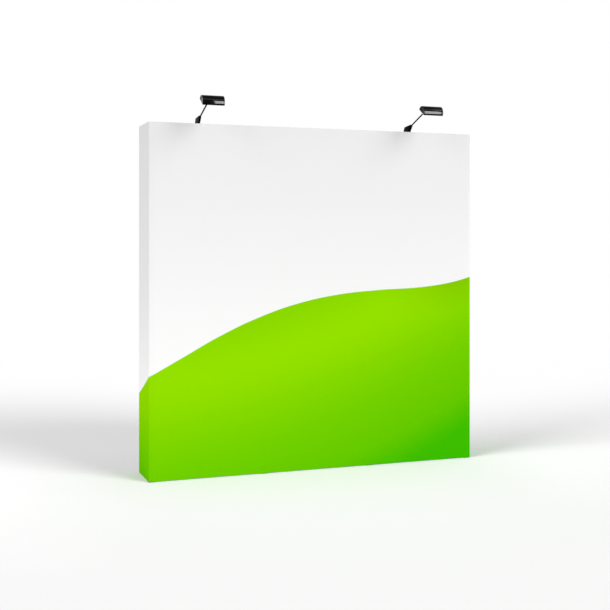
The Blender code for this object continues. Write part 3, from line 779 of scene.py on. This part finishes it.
def buildUprights():
    channel, cap, hub, pin = patterns = buildChannel(), buildCap(), buildHub(), buildPin()
    for side in ("front", "back"):
        isFront = side == "front"
        for column in range(4):
            node, label = f"{side}_upright_{column + 1}", f"{side}Upright{column + 1}"
            place = hubPlace(column, isFront)
            channelCopy = dress(copyPiece(channel, f"{label}Channel", place), "anodisedAluminium", node)
            dress(copyPiece(cap, f"{label}Cap", place), "blackNylon", node)
            hubs, pins = [], []
            for z in rowZs:
                spot = hubPlace(column, isFront, z)
                hubs.append(copyPiece(hub, "hubCopy", spot))
                for across, layer in usedPivots(column, isFront):
                    # Seen from above, a back hub's own left and right are swapped
                    x = (across if isFront else -across) * pivotSpread
                    pinPlace = spot @ Matrix.Translation((x, pivotReach, 0))
                    pins.append(copyPiece(pin, "pinCopy", pinPlace if layer > 0 else pinPlace @ upsideDown))
            dress(joinPieces(f"{label}Hubs", hubs), "blackNylon", node)
            dress(joinPieces(f"{label}Pins", pins), "zincSteel", node)
            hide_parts(node)
    removePieces(patterns)


buildUprights()
print("uprights made")


strutSettings = {
    "tube": 0.0061,
    "bore": 0.0049,
    "tip": 0.00642,
    "tipLength": 0.034,
    "overhang": 0.009,
    "band": (0.0195, 0.0215),
    "pinHole": 0.0036,
    "rivet": 0.0025,
    "rivetHead": 0.0052,
    "headRise": 0.0019,
    "collar": 0.0048,
}


def buildTube():
    # An aluminium tube, drawn along +X from one hinge pin to the other
    start = strutSettings["overhang"] + 0.004
    end = frameSettings["strutLength"] - start
    tube = addRod("tube", (start, 0, 0), (end, 0, 0), strutSettings["tube"], 32)
    editPiece(tube)
    insetFaces(tube, lambda f: abs(f.normal.x) > 0.9, strutSettings["tube"] - strutSettings["bore"])
    extrudePicked((0, 0, 0))
    bpy.ops.mesh.delete(type="FACE")
    leaveEdit()
    smoothShade(tube)
    return tube


def buildTip():
    # A nylon end, slid over the tube, with a band round it and the hinge pin's hole through it
    start, end = -strutSettings["overhang"], strutSettings["tipLength"] - strutSettings["overhang"]
    tip = addRod("tip", (start, 0, 0), (end, 0, 0), strutSettings["tip"], 40)
    editPiece(tip)
    addBands(tip, 0, [strutSettings["band"]], -0.0005)
    leaveEdit()
    cutWith(tip, addRod("hole", (0, 0, -0.02), (0, 0, 0.02), strutSettings["pinHole"], 28))
    softenPieces([tip], 0.0005)
    return tip


def buildRivet():
    # Through both struts of a crossing: a domed head on its own tube, a collar between, a head beyond
    apart, tube = 2 * frameSettings["layer"], strutSettings["tube"]
    parts = [addRod("rivet", (0, 0, -apart - tube - 0.001), (0, 0, tube + 0.001), strutSettings["rivet"], 24)]
    for z, sign in ((tube + 0.0002, 1), (-apart - tube - 0.0002, -1)):
        deselectAll()
        bpy.ops.mesh.primitive_uv_sphere_add(segments=24, ring_count=12, radius=strutSettings["rivetHead"],
                                             location=(0, 0, 0))
        head = startPiece("rivetHead")
        editPiece(head)
        slicePiece((0, 0, 0), (0, 0, 1), clear_inner=True, use_fill=True)
        pickEverything()
        scalePicked((1, 1, sign * strutSettings["headRise"] / strutSettings["rivetHead"]), (0, 0, 0))
        bpy.ops.transform.translate(value=(0, 0, z))
        bpy.ops.mesh.normals_make_consistent(inside=False)
        leaveEdit()
        smoothShade(head, 50)
        parts.append(head)
    collar = addRod("collar", (0, 0, tube + 0.0002 - apart), (0, 0, -tube - 0.0002),
                    strutSettings["collar"], 28)
    softenPieces([collar], 0.0005)
    return joinPieces("rivet", [*parts, collar])


def buildStruts():
    tube, tip, rivet = patterns = buildTube(), buildTip(), buildRivet()
    length = frameSettings["strutLength"]
    farEnd = Matrix.Translation((length, 0, 0)) @ aboutFace
    crossing = Matrix.Translation((length / 2, 0, 0))
    for letters in ("1a", "1b", "2a", "2b", "3a", "3b"):
        isA, layer = letters[1] == "a", layerOf(letters)
        x = columnXs[int(letters[0]) - 1] + pivotSpread
        turn = Matrix.Rotation(frameSettings["strutAngle"] * (1 if isA else -1), 4, "Z")
        tubes, tips, rivets = [], [], []
        for z in rowZs:
            start = (x, frontPivotY if isA else backPivotY, z + layer * frameSettings["layer"])
            place = Matrix.Translation(start) @ turn
            tubes.append(copyPiece(tube, "tubeCopy", place))
            tips.append(copyPiece(tip, "tipCopy", place))
            tips.append(copyPiece(tip, "tipCopy", place @ farEnd))
            if isA:
                middle = place @ crossing
                rivets.append(copyPiece(rivet, "rivetCopy", middle if layer > 0 else middle @ upsideDown))
        label, node = f"struts{letters.upper()}", f"strut_{letters}_1"
        tubePiece = dress(joinPieces(f"{label}Tubes", tubes), "anodisedAluminium", node)
        dress(joinPieces(f"{label}Tips", tips), "blackNylon", node)
        if rivets:
            dress(joinPieces(f"{label}Rivets", rivets), "zincSteel", node)
        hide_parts(*[f"strut_{letters}_{row}" for row in (1, 2, 3, 4)])
    removePieces(patterns)


buildStruts()
print("struts made")


# Lamps. The head's parts are drawn about the middle of its open side, with the opening down and the length
# along X, and are then tilted into place. Ears and arm are drawn about their joints.
lampSettings = {
    "xs": {"left": -0.758585, "right": 0.758585},
    "radius": 0.042,
    "length": 0.142,
    "wall": 0.0025,
    "tilt": math.radians(33.5),
    "sides": 128,
    "rim": 0.0022,
    "endInset": 0.0034,
    "endDepth": 0.0009,
    "middle": (-0.200, 2.3695),
    "headJoint": (-0.167861, 2.407802),
    "armJoint": (0.103215, 2.312667),
    "eye": 0.0075,
    "eyeThickness": 0.006,
    "ear": 0.005,
    "gap": 0.0003,
    "pin": 0.0025,
    "pinCap": 0.0048,
    "rod": 0.0048,
    "rodStart": 0.0115,
    "lensBulge": 0.006,
    "lensDepth": 0.003,
    "lensLip": 0.0004,
    "gland": 0.004,
    "glandX": 0.030,
    "glandTurn": math.radians(44),
}
lampRadius, lampWall = lampSettings["radius"], lampSettings["wall"]
lampHalf = lampSettings["length"] / 2
lampMiddle = Vector((0, *lampSettings["middle"]))
headJoint = Vector((0, *lampSettings["headJoint"]))
armJoint = Vector((0, *lampSettings["armJoint"]))
earInner = lampSettings["eyeThickness"] / 2 + lampSettings["gap"]
earOuter = earInner + lampSettings["ear"]


def isEndPanel(face):
    return abs(face.normal.x) > 0.999 and face.calc_area() > 0.001


def buildShell():
    # Half of a drum, with rounded rims, pressed end panels and a wall
    shell = addRod("housing", (-lampHalf, 0, 0), (lampHalf, 0, 0), lampRadius, lampSettings["sides"])
    editPiece(shell)
    slicePiece((0, 0, 0), (0, 0, 1), clear_inner=True)
    pickEdges(shell, lambda e: not e.is_boundary and abs(e.verts[0].co.x - e.verts[1].co.x) < 0.0001
              and abs(e.verts[0].co.x) > lampHalf - 0.0001)
    bpy.ops.mesh.bevel(offset=lampSettings["rim"], segments=5, profile=0.5)
    insetFaces(shell, isEndPanel, lampSettings["endInset"], use_boundary=False)
    pickFaces(shell, isEndPanel)
    scalePicked((1 - lampSettings["endDepth"] / lampHalf, 1, 1), (0, 0, 0))
    leaveEdit()
    applyModifier(shell, "SOLIDIFY", thickness=lampWall, offset=-1.0, use_even_offset=True)
    roundEdges(shell, 0.0005, 2, 50)
    smoothShade(shell, 35)
    return shell


def buildEars():
    # Two round-ended plates from the shell to the joint, and the pin through them with a cap at both ends
    eye = lampSettings["eye"]
    toShell = (lampMiddle - headJoint).normalized()
    reach = (lampMiddle - headJoint).length - lampRadius + lampWall / 2
    turn = Matrix.Rotation(math.atan2(-toShell.y, toShell.z) + math.pi, 4, "X")
    parts = []
    for side in (-1, 1):
        inner, outer = side * earInner, side * earOuter
        ear = addRod("ear", (inner, 0, 0), (outer, 0, 0), eye, 48)
        root = addBox("earRoot", (min(inner, outer), -eye, -reach), (max(inner, outer), eye, 0))
        root.data.transform(turn)
        cutWith(ear, root, "UNION")
        cap = addRod("pinCap", (outer, 0, 0), (outer + side * 0.0022, 0, 0), lampSettings["pinCap"], 32)
        editPiece(cap)
        insetFaces(cap, lambda f: f.normal.x * side > 0.9, 0.0016, (-side * 0.0009, 0, 0))
        leaveEdit()
        parts += [ear, cap]
    parts.append(addRod("jointPin", (-earOuter, 0, 0), (earOuter, 0, 0), lampSettings["pin"], 24))
    softenPieces(parts, 0.0004)
    return joinPieces("ears", parts)


def buildGland():
    # A short ribbed tube where the lead would come in
    gland = addRod("gland", (0, lampRadius - 0.001, 0), (0, lampRadius + 0.010, 0), lampSettings["gland"], 32)
    editPiece(gland)
    ribs = [(lampRadius + low, lampRadius + low + 0.0012) for low in (0.003, 0.0062)]
    addBands(gland, 1, ribs, 0.0007)
    insetFaces(gland, lambda f: f.normal.y > 0.9, 0.0012)
    extrudePicked((0, -0.006, 0))
    leaveEdit()
    softenPieces([gland], 0.0003)
    gland.data.transform(Matrix.Translation((lampSettings["glandX"], 0, 0))
                         @ Matrix.Rotation(lampSettings["glandTurn"], 4, "X"))
    return gland


def buildLens():
    # The round end of a much larger drum, with a straight lip up into the shell
    halfWidth = lampRadius - lampWall - 0.0009
    half = lampHalf - lampWall - 0.0006
    bulge, lip = lampSettings["lensBulge"], lampSettings["lensLip"]
    sagRadius = (halfWidth ** 2 + bulge ** 2) / (2 * bulge)
    lens = addRod("lens", (-half, 0, sagRadius - bulge), (half, 0, sagRadius - bulge), sagRadius, 360)
    editPiece(lens)
    slicePiece((0, 0, 0), (0, 0, 1), clear_outer=True, use_fill=True)
    insetFaces(lens, lambda f: f.normal.z > 0.9, lip)
    extrudePicked((0, 0, lampSettings["lensDepth"] - lip))
    leaveEdit()
    roundEdges(lens, 0.0007, 3, 40)
    smoothShade(lens)
    return lens


chipSettings = {
    "rows": (-0.013, 0.013),
    "count": 9,
    "pitch": 0.0145,
    "carrierHalf": 0.0025,
    "carrierLow": 0.0128,
    "carrierHigh": 0.014,
    "drop": 0.0019,
    "dropLow": 0.0122,
}


def buildChips():
    # Two rows of light chips on the board, each a white carrier with a yellow lens
    carriers, drops = [], []
    half, low = chipSettings["carrierHalf"], chipSettings["carrierLow"]
    for y in chipSettings["rows"]:
        for step in range(chipSettings["count"]):
            x = (step - (chipSettings["count"] - 1) / 2) * chipSettings["pitch"]
            carriers.append(addBox("carrier", (x - half, y - half, low),
                                   (x + half, y + half, chipSettings["carrierHigh"])))
            tip = (x, y, chipSettings["dropLow"])
            drop = addRod("drop", tip, (x, y, low), chipSettings["drop"], 12)
            editPiece(drop)
            pickFaces(drop, lambda f: f.normal.z < -0.9)
            scalePicked((0.6, 0.6, 1), tip)
            leaveEdit()
            drops.append(drop)
    carriers = joinPieces("carriers", carriers)
    softenPieces([carriers], 0.0003, 1)
    drops = joinPieces("drops", drops)
    smoothShade(drops)
    return carriers, drops


def buildArm():
    # A rod with a flattened eye at both ends, drawn from the arm's own joint
    run = headJoint - armJoint
    way = run.normalized()
    halfEye, rodStart = lampSettings["eyeThickness"] / 2, lampSettings["rodStart"]
    across, holeHalf = Vector((halfEye, 0, 0)), Vector((0.01, 0, 0))
    rod = addRod("arm", way * rodStart, run - way * rodStart, lampSettings["rod"], 40)
    roundEdges(rod, 0.0012, 3)
    turn = Matrix.Rotation(math.atan2(way.z, way.y), 4, "X")
    parts = [rod]
    for place, sign in ((Vector(), 1), (run, -1)):
        ring = addRod("eye", place - across, place + across, lampSettings["eye"], 48)
        # A flat neck from the ring into the rod
        neck = addBox("neck", (-halfEye, 0, -0.0042), (halfEye, rodStart + 0.004, 0.0042))
        neck.data.transform(Matrix.Translation(place) @ turn @ Matrix.Diagonal((1, sign, 1, 1)))
        if sign < 0:
            neck.data.flip_normals()
        cutWith(ring, neck, "UNION")
        cutWith(ring, addRod("hole", place - holeHalf, place + holeHalf,
                             lampSettings["pin"] + lampSettings["gap"], 32))
        roundEdges(ring, 0.0005)
        parts.append(ring)
    for part in parts:
        smoothShade(part)
    return joinPieces("arm", parts)


clampPlace = Vector((0, 0.097215, 2.208967))
screwWays = {"left": -1, "right": 1}
knobSettings = {
    "start": 0.0175,
    "length": 0.011,
    "radius": 0.009,
    "dish": 0.0022,
    "dishDepth": 0.0012,
    "lobes": 6,
    "lobeCentre": 0.0106,
    "groove": 0.0032,
    "shankStart": 0.0066,
    "shank": 0.003,
    "thread": 0.00035,
    "threadTurn": math.radians(4),
    "pitch": 0.0011,
}


def buildKnob():
    # A lobed grip, drawn along +Y from the tube that the screw presses on
    start, end = knobSettings["start"], knobSettings["start"] + knobSettings["length"]
    knob = addRod("knob", (0, start, 0), (0, end, 0), knobSettings["radius"], 72)
    for lobe in range(knobSettings["lobes"]):
        turn = 2 * math.pi * (lobe + 0.5) / knobSettings["lobes"]
        x, z = knobSettings["lobeCentre"] * math.cos(turn), knobSettings["lobeCentre"] * math.sin(turn)
        cutWith(knob, addRod("groove", (x, start - 0.001, z), (x, end + 0.001, z),
                             knobSettings["groove"], 32))
    editPiece(knob)
    insetFaces(knob, lambda f: f.normal.y > 0.9, knobSettings["dish"], (0, -knobSettings["dishDepth"], 0))
    leaveEdit()
    roundEdges(knob, 0.0008, 3, 40)
    smoothShade(knob)
    return knob


def buildShank():
    # The screw's threaded shank, with a thread turn every pitch
    start, pitch, thread = knobSettings["shankStart"], knobSettings["pitch"], knobSettings["thread"]
    turns = [addRod("shank", (0, start, 0), (0, knobSettings["start"] + 0.002, 0),
                    knobSettings["shank"] - 0.0004, 28)]
    lean = Matrix.Rotation(knobSettings["threadTurn"], 4, "X")
    for step in range(int((knobSettings["start"] - start) / pitch)):
        y = start + (step + 0.5) * pitch
        ridge = addRod("ridge", (0, y - thread, 0), (0, y + thread, 0), knobSettings["shank"], 28)
        ridge.data.transform(Matrix.Translation((0, y, 0)) @ lean @ Matrix.Translation((0, -y, 0)))
        turns.append(ridge)
    softenPieces(turns, thread / 2, 1)
    return joinPieces("shank", turns)


def buildLamps():
    patterns = [buildShell(), buildEars(), buildGland(), buildLens(), buildArm(), buildKnob(), buildShank(),
                *buildChips()]
    shell, ears, gland, lens, arm, knob, shank, carriers, drops = patterns
    for side, x in lampSettings["xs"].items():
        label, node = f"lamp{side.capitalize()}", f"lamp_{side}"
        across = Matrix.Translation((x, 0, 0))
        untilted = across @ Matrix.Translation(lampMiddle)
        head = untilted @ Matrix.Rotation(lampSettings["tilt"], 4, "X")
        joint, armPlace = across @ Matrix.Translation(headJoint), across @ Matrix.Translation(armJoint)
        # The screw points back, square to the tube that its bracket hooks over
        clamp = (across @ Matrix.Translation(clampPlace)
                 @ Matrix.Rotation(frameSettings["strutAngle"] * screwWays[side], 4, "Z"))
        housingNode, screwNode = f"{node}_housing", f"{node}_screw"
        housing = dress(copyPiece(shell, f"{label}Housing", head), "glossBlack", housingNode)
        dress(copyPiece(ears, f"{label}Ears", joint), "blackCoat", housingNode)
        dress(copyPiece(gland, f"{label}Gland", untilted), "blackNylon", housingNode)
        cover = dress(copyPiece(lens, f"{label}Lens", head), "frostedLens", housingNode)
        dressNode(f"{node}_leds", "ledBoard")
        dress(copyPiece(carriers, f"{label}ChipCarriers", head), "ledBoard", housingNode)
        dress(copyPiece(drops, f"{label}ChipDrops", head), "chipYellow", housingNode)
        rod = dress(copyPiece(arm, f"{label}Arm", armPlace), "blackCoat", f"{node}_arm")
        bracket = dress(roundedCopy(f"{node}_bracket", f"{label}Bracket", 0.0006), "blackCoat",
                        f"{node}_bracket")
        grip = dress(copyPiece(knob, f"{label}Knob", clamp), "blackNylon", screwNode)
        dress(copyPiece(shank, f"{label}ScrewShank", clamp), "zincSteel", screwNode)
        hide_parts(f"lamp_{side}_housing")
        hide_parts(f"lamp_{side}_lens")
        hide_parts(f"lamp_{side}_arm")
        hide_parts(f"lamp_{side}_bracket")
        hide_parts(f"lamp_{side}_screw")
    removePieces(patterns)


buildLamps()
print("lamps made")


footSettings = {
    "height": 0.012,
    "toe": 0.010,
    "plugLow": 0.006,
    "plugTop": 0.0297,
    "round": 0.0022,
    "tread": (0.0040, 0.0052),
}


def buildFoot():
    # A rubber pad with a tread line round it, and a plug up into the channel
    foot = addBox("foot", (-channelHalf, -channelDepth, 0),
                  (channelHalf, footSettings["toe"], footSettings["height"]))
    roundEdges(foot, footSettings["round"], 3)
    editPiece(foot)
    addBands(foot, 2, [footSettings["tread"]], -0.0006)
    leaveEdit()
    inset = channelSettings["wall"] + channelSettings["fit"]
    plug = addBox("plug", (inset - channelHalf, inset - channelDepth, footSettings["plugLow"]),
                  (channelHalf - inset, -channelSettings["wall"], footSettings["plugTop"]))
    editPiece(plug)
    insetFaces(plug, lambda f: f.normal.y > 0.9, 0.003)
    extrudePicked((0, -0.003, 0))
    leaveEdit()
    roundEdges(plug, 0.0008)
    for part in (foot, plug):
        smoothShade(part)
    return joinPieces("foot", [foot, plug])


foot = buildFoot()
for side in ("front", "back"):
    for column in range(4):
        node = f"{side}_foot_{column + 1}"
        place = hubPlace(column, side == "front")
        pad = dress(copyPiece(foot, f"{side}Foot{column + 1}", place), "blackRubber", node)
        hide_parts(node)
bpy.data.objects.remove(foot)
print("feet made")


lockSettings = {
    "flange": 0.006,
    "flangeThickness": 0.004,
    "radius": 0.0048,
    "noseRadius": 0.0031,
    "bore": 0.0037,
    "nose": 0.022,
    "band": (0.030, 0.027),  # back from where the two meet
    "gap": 0.0003,
}


def buildLock():
    # A socket on the front hub's plate and a nose on the back one, plugged together while the wall is open
    reach = hubSettings["lug"] + lockSettings["gap"]
    near, far = frontPivotY + reach, backPivotY - reach
    meet = near + (far - near + lockSettings["nose"]) / 2
    noseTip = meet - lockSettings["nose"]
    shaftEnd = meet + lockSettings["gap"]

    def addLockRod(name, start, end, radius):
        return addRod(name, (columnXs[1], start, rowZs[1]), (columnXs[1], end, rowZs[1]), radius, 36)

    socket = addLockRod("lockSocket", near + 0.002, meet, lockSettings["radius"])
    cutWith(socket, addLockRod("bore", noseTip, meet + 0.01, lockSettings["bore"]))
    editPiece(socket)
    addBands(socket, 1, [tuple(meet - back for back in lockSettings["band"])], -0.0006)
    leaveEdit()
    flange = addLockRod("flange", near, near + lockSettings["flangeThickness"], lockSettings["flange"])
    softenPieces([socket, flange], 0.0005)
    socket = dress(joinPieces("lockSocket", [socket, flange]), "blackNylon", "lock_socket")
    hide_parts("lock_socket")
    shaft = addLockRod("lockNose", far - 0.002, shaftEnd, lockSettings["radius"])
    nose = addLockRod("nose", shaftEnd + 0.002, noseTip + 0.001, lockSettings["noseRadius"])
    flange = addLockRod("flange", far, far - lockSettings["flangeThickness"], lockSettings["flange"])
    softenPieces([shaft, flange], 0.0005)
    softenPieces([nose], 0.0012)
    nose = dress(joinPieces("lockNose", [shaft, nose, flange]), "blackNylon", "lock_nose")
    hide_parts("lock_nose")


buildLock()
print("lock made")


# Camera: level, with the horizon above the middle of the picture
cameraSettings = {
    "place": (-2.4588, -6.5256, 1.483),
    "turn": math.radians(-20.1075),
    "focalPixels": 1047.9,
    "pictureSize": 610.0,
    "horizonRow": 244.6,
    "sensor": 36.0,
}


def addObject(name, data, place=(0, 0, 0), turn=(0, 0, 0)):
    item = bpy.data.objects.new(name, data)
    item.location = place
    item.rotation_euler = turn
    bpy.context.collection.objects.link(item)
    return item


def addCamera():
    size = cameraSettings["pictureSize"]
    data = bpy.data.cameras.new("viewCamera")
    data.sensor_width = cameraSettings["sensor"]
    data.lens = cameraSettings["focalPixels"] / size * cameraSettings["sensor"]
    data.shift_y = (cameraSettings["horizonRow"] - size / 2) / size
    turn = (math.pi / 2, 0, cameraSettings["turn"])
    bpy.context.scene.camera = addObject("viewCamera", data, cameraSettings["place"], turn)


addCamera()


# Studio: a pale floor that runs out to white, with painted shade in front of the wall. The wall and the floor
# have a pair of wide soft lights each.
studio = {
    "floorSize": 60.0,
    "floorColoursAndWallShade": (0.658, 0.70),  # in front of the wall, where near the wall it is painted shade of the wall, and behind and beside it
    "paler": (-1.9, -0.3),
    "middleX": -0.25,
    "beside": (0.9, 1.8),
    "behind": (0.0, 1.2),
    "toWhite": (3.0, 7.0),
    "whiteLater": 4.0,  # how much farther out it goes to white before and beside the wall than behind it
    "worldLight": 0.54,
}
# Turns are from straight ahead of the print, to its right
sunSettings = {
    "wallKey": {"strength": 2.10, "softness": 33, "turn": 55, "height": 36},
    "wallFill": {"strength": 0.72, "softness": 30, "turn": -68, "height": 31},
    "floorKey": {"strength": 2.96, "softness": 31, "turn": 34.5, "height": 26},
    "floorFill": {"strength": 3.36, "softness": 35, "turn": -74, "height": 26},
}


def addShown(tree):
    # 1 where a surface is seen directly or in a reflection
    path = addNode(tree, "ShaderNodeLightPath").outputs
    mirrored = addMath(tree, "MAXIMUM", path["Is Glossy Ray"], path["Is Transmission Ray"])
    return addMath(tree, "MAXIMUM", path["Is Camera Ray"], mirrored)


def makeFloor():
    deselectAll()
    bpy.ops.mesh.primitive_plane_add(size=studio["floorSize"], location=(0, 0, 0))
    floor = startPiece("studioFloor")
    material, tree, shader = newMaterial("paleFloor")
    coordinates = addNode(tree, "ShaderNodeTexCoord").outputs["Object"]
    place = addNode(tree, "ShaderNodeSeparateXYZ", {"Vector": coordinates}).outputs
    # Painted shade of the wall: near the wall the floor gets lighter only beside and behind it, and stays
    # darker straight in front of it
    nearer = addRange(tree, place["Y"], *studio["paler"])
    fromMiddle = addMath(tree, "ABSOLUTE", addMath(tree, "SUBTRACT", place["X"], studio["middleX"]))
    beside = addRange(tree, fromMiddle, *studio["beside"], interpolation="SMOOTHSTEP")
    behind = addRange(tree, place["Y"], *studio["behind"], interpolation="SMOOTHSTEP")
    pale = addMath(tree, "MULTIPLY", nearer, addMath(tree, "MAXIMUM", beside, behind))
    setInputs(tree, shader, {
        "Base Color": addRange(tree, pale, 0.0, 1.0, *studio["floorColoursAndWallShade"]),
        "Roughness": 0.7,
        "Specular IOR Level": 0.0,
    })
    # Far from the wall it goes over to plain white
    before = addMath(tree, "SUBTRACT", -studio["whiteLater"], place["Y"])
    aside = addMath(tree, "SUBTRACT", addMath(tree, "ABSOLUTE", place["X"]), studio["whiteLater"])
    farthest = addMath(tree, "MAXIMUM", place["Y"], addMath(tree, "MAXIMUM", before, aside))
    far = addRange(tree, farthest, *studio["toWhite"], interpolation="SMOOTHSTEP")
    white = addNode(tree, "ShaderNodeEmission", {"Strength": 1.0})
    mix = addNode(tree, "ShaderNodeMixShader", {
        "Fac": addMath(tree, "MULTIPLY", far, addShown(tree)),
        1: shader.outputs["BSDF"],
        2: white.outputs["Emission"],
    })
    output = next(node for node in tree.nodes if node.type == "OUTPUT_MATERIAL")
    setInputs(tree, output, {"Surface": mix.outputs["Shader"]})
    floor.data.materials.append(material)
    return floor


def makeWorld():
    world = bpy.data.worlds.new("studio")
    world.use_nodes = True
    tree = world.node_tree
    tree.nodes.clear()
    light, seen = [addNode(tree, "ShaderNodeBackground", {"Color": (1, 1, 1, 1), "Strength": strength})
                   for strength in (studio["worldLight"], 1.0)]
    mix = addNode(tree, "ShaderNodeMixShader", {
        "Fac": addShown(tree),
        1: light.outputs["Background"],
        2: seen.outputs["Background"],
    })
    addNode(tree, "ShaderNodeOutputWorld", {"Surface": mix.outputs["Shader"]})
    bpy.context.scene.world = world


def linkLight(light, items):
    # The collection says which objects the light reaches
    lit = bpy.data.collections.new(f"{light.name}Lit")
    for item in items:
        lit.objects.link(item)
    light.light_linking.receiver_collection = lit
    return lit


def addSun(name, kind, floor):
    data = bpy.data.lights.new(name, "SUN")
    data.energy = kind["strength"]
    data.angle = math.radians(kind["softness"])
    turn, height = math.radians(kind["turn"]), math.radians(kind["height"])
    way = Vector((-math.sin(turn) * math.cos(height), math.cos(turn) * math.cos(height), -math.sin(height)))
    sun = addObject(name, data, turn=way.to_track_quat("-Z", "Y").to_euler())
    # It lights either the floor or all the rest, and everything casts its shadow
    lit = linkLight(sun, [floor])
    lit.collection_objects[0].light_linking.link_state = "INCLUDE" if name.startswith("floor") else "EXCLUDE"


# Cards mirrored in the gloss of the lamp heads: a tall one for each and a dim one over both
cardSettings = {
    "left": {"place": (-0.118, -1.80, 2.22), "size": (0.36, 1.25), "level": 355, "heads": ["Left"]},
    "right": {"place": (1.53, -1.75, 2.22), "size": (0.70, 1.25), "level": 355, "heads": ["Right"]},
    "over": {"place": (0.5, -1.80, 4.0), "size": (5.0, 1.0), "level": 26, "heads": ["Left", "Right"]},
}
cardLean = math.radians(-3)


def addCard(name, kind):
    # Upright, facing the wall. It lights only the heads, and only their gloss
    data = bpy.data.lights.new(f"{name}Card", "AREA")
    data.shape = "RECTANGLE"
    data.size, data.size_y = kind["size"]
    data.energy = kind["level"] * data.size * data.size_y
    card = addObject(f"{name}Card", data, kind["place"], (math.pi / 2, cardLean, 0))
    card.visible_camera = False
    card.visible_diffuse = False
    linkLight(card, [bpy.data.objects[f"lamp{side}Housing"] for side in kind["heads"]])


floor = makeFloor()
makeWorld()
for name, kind in sunSettings.items():
    addSun(name, kind, floor)
for name, kind in cardSettings.items():
    addCard(name, kind)
bpy.context.scene.view_settings.view_transform = "Standard"
print("studio made")
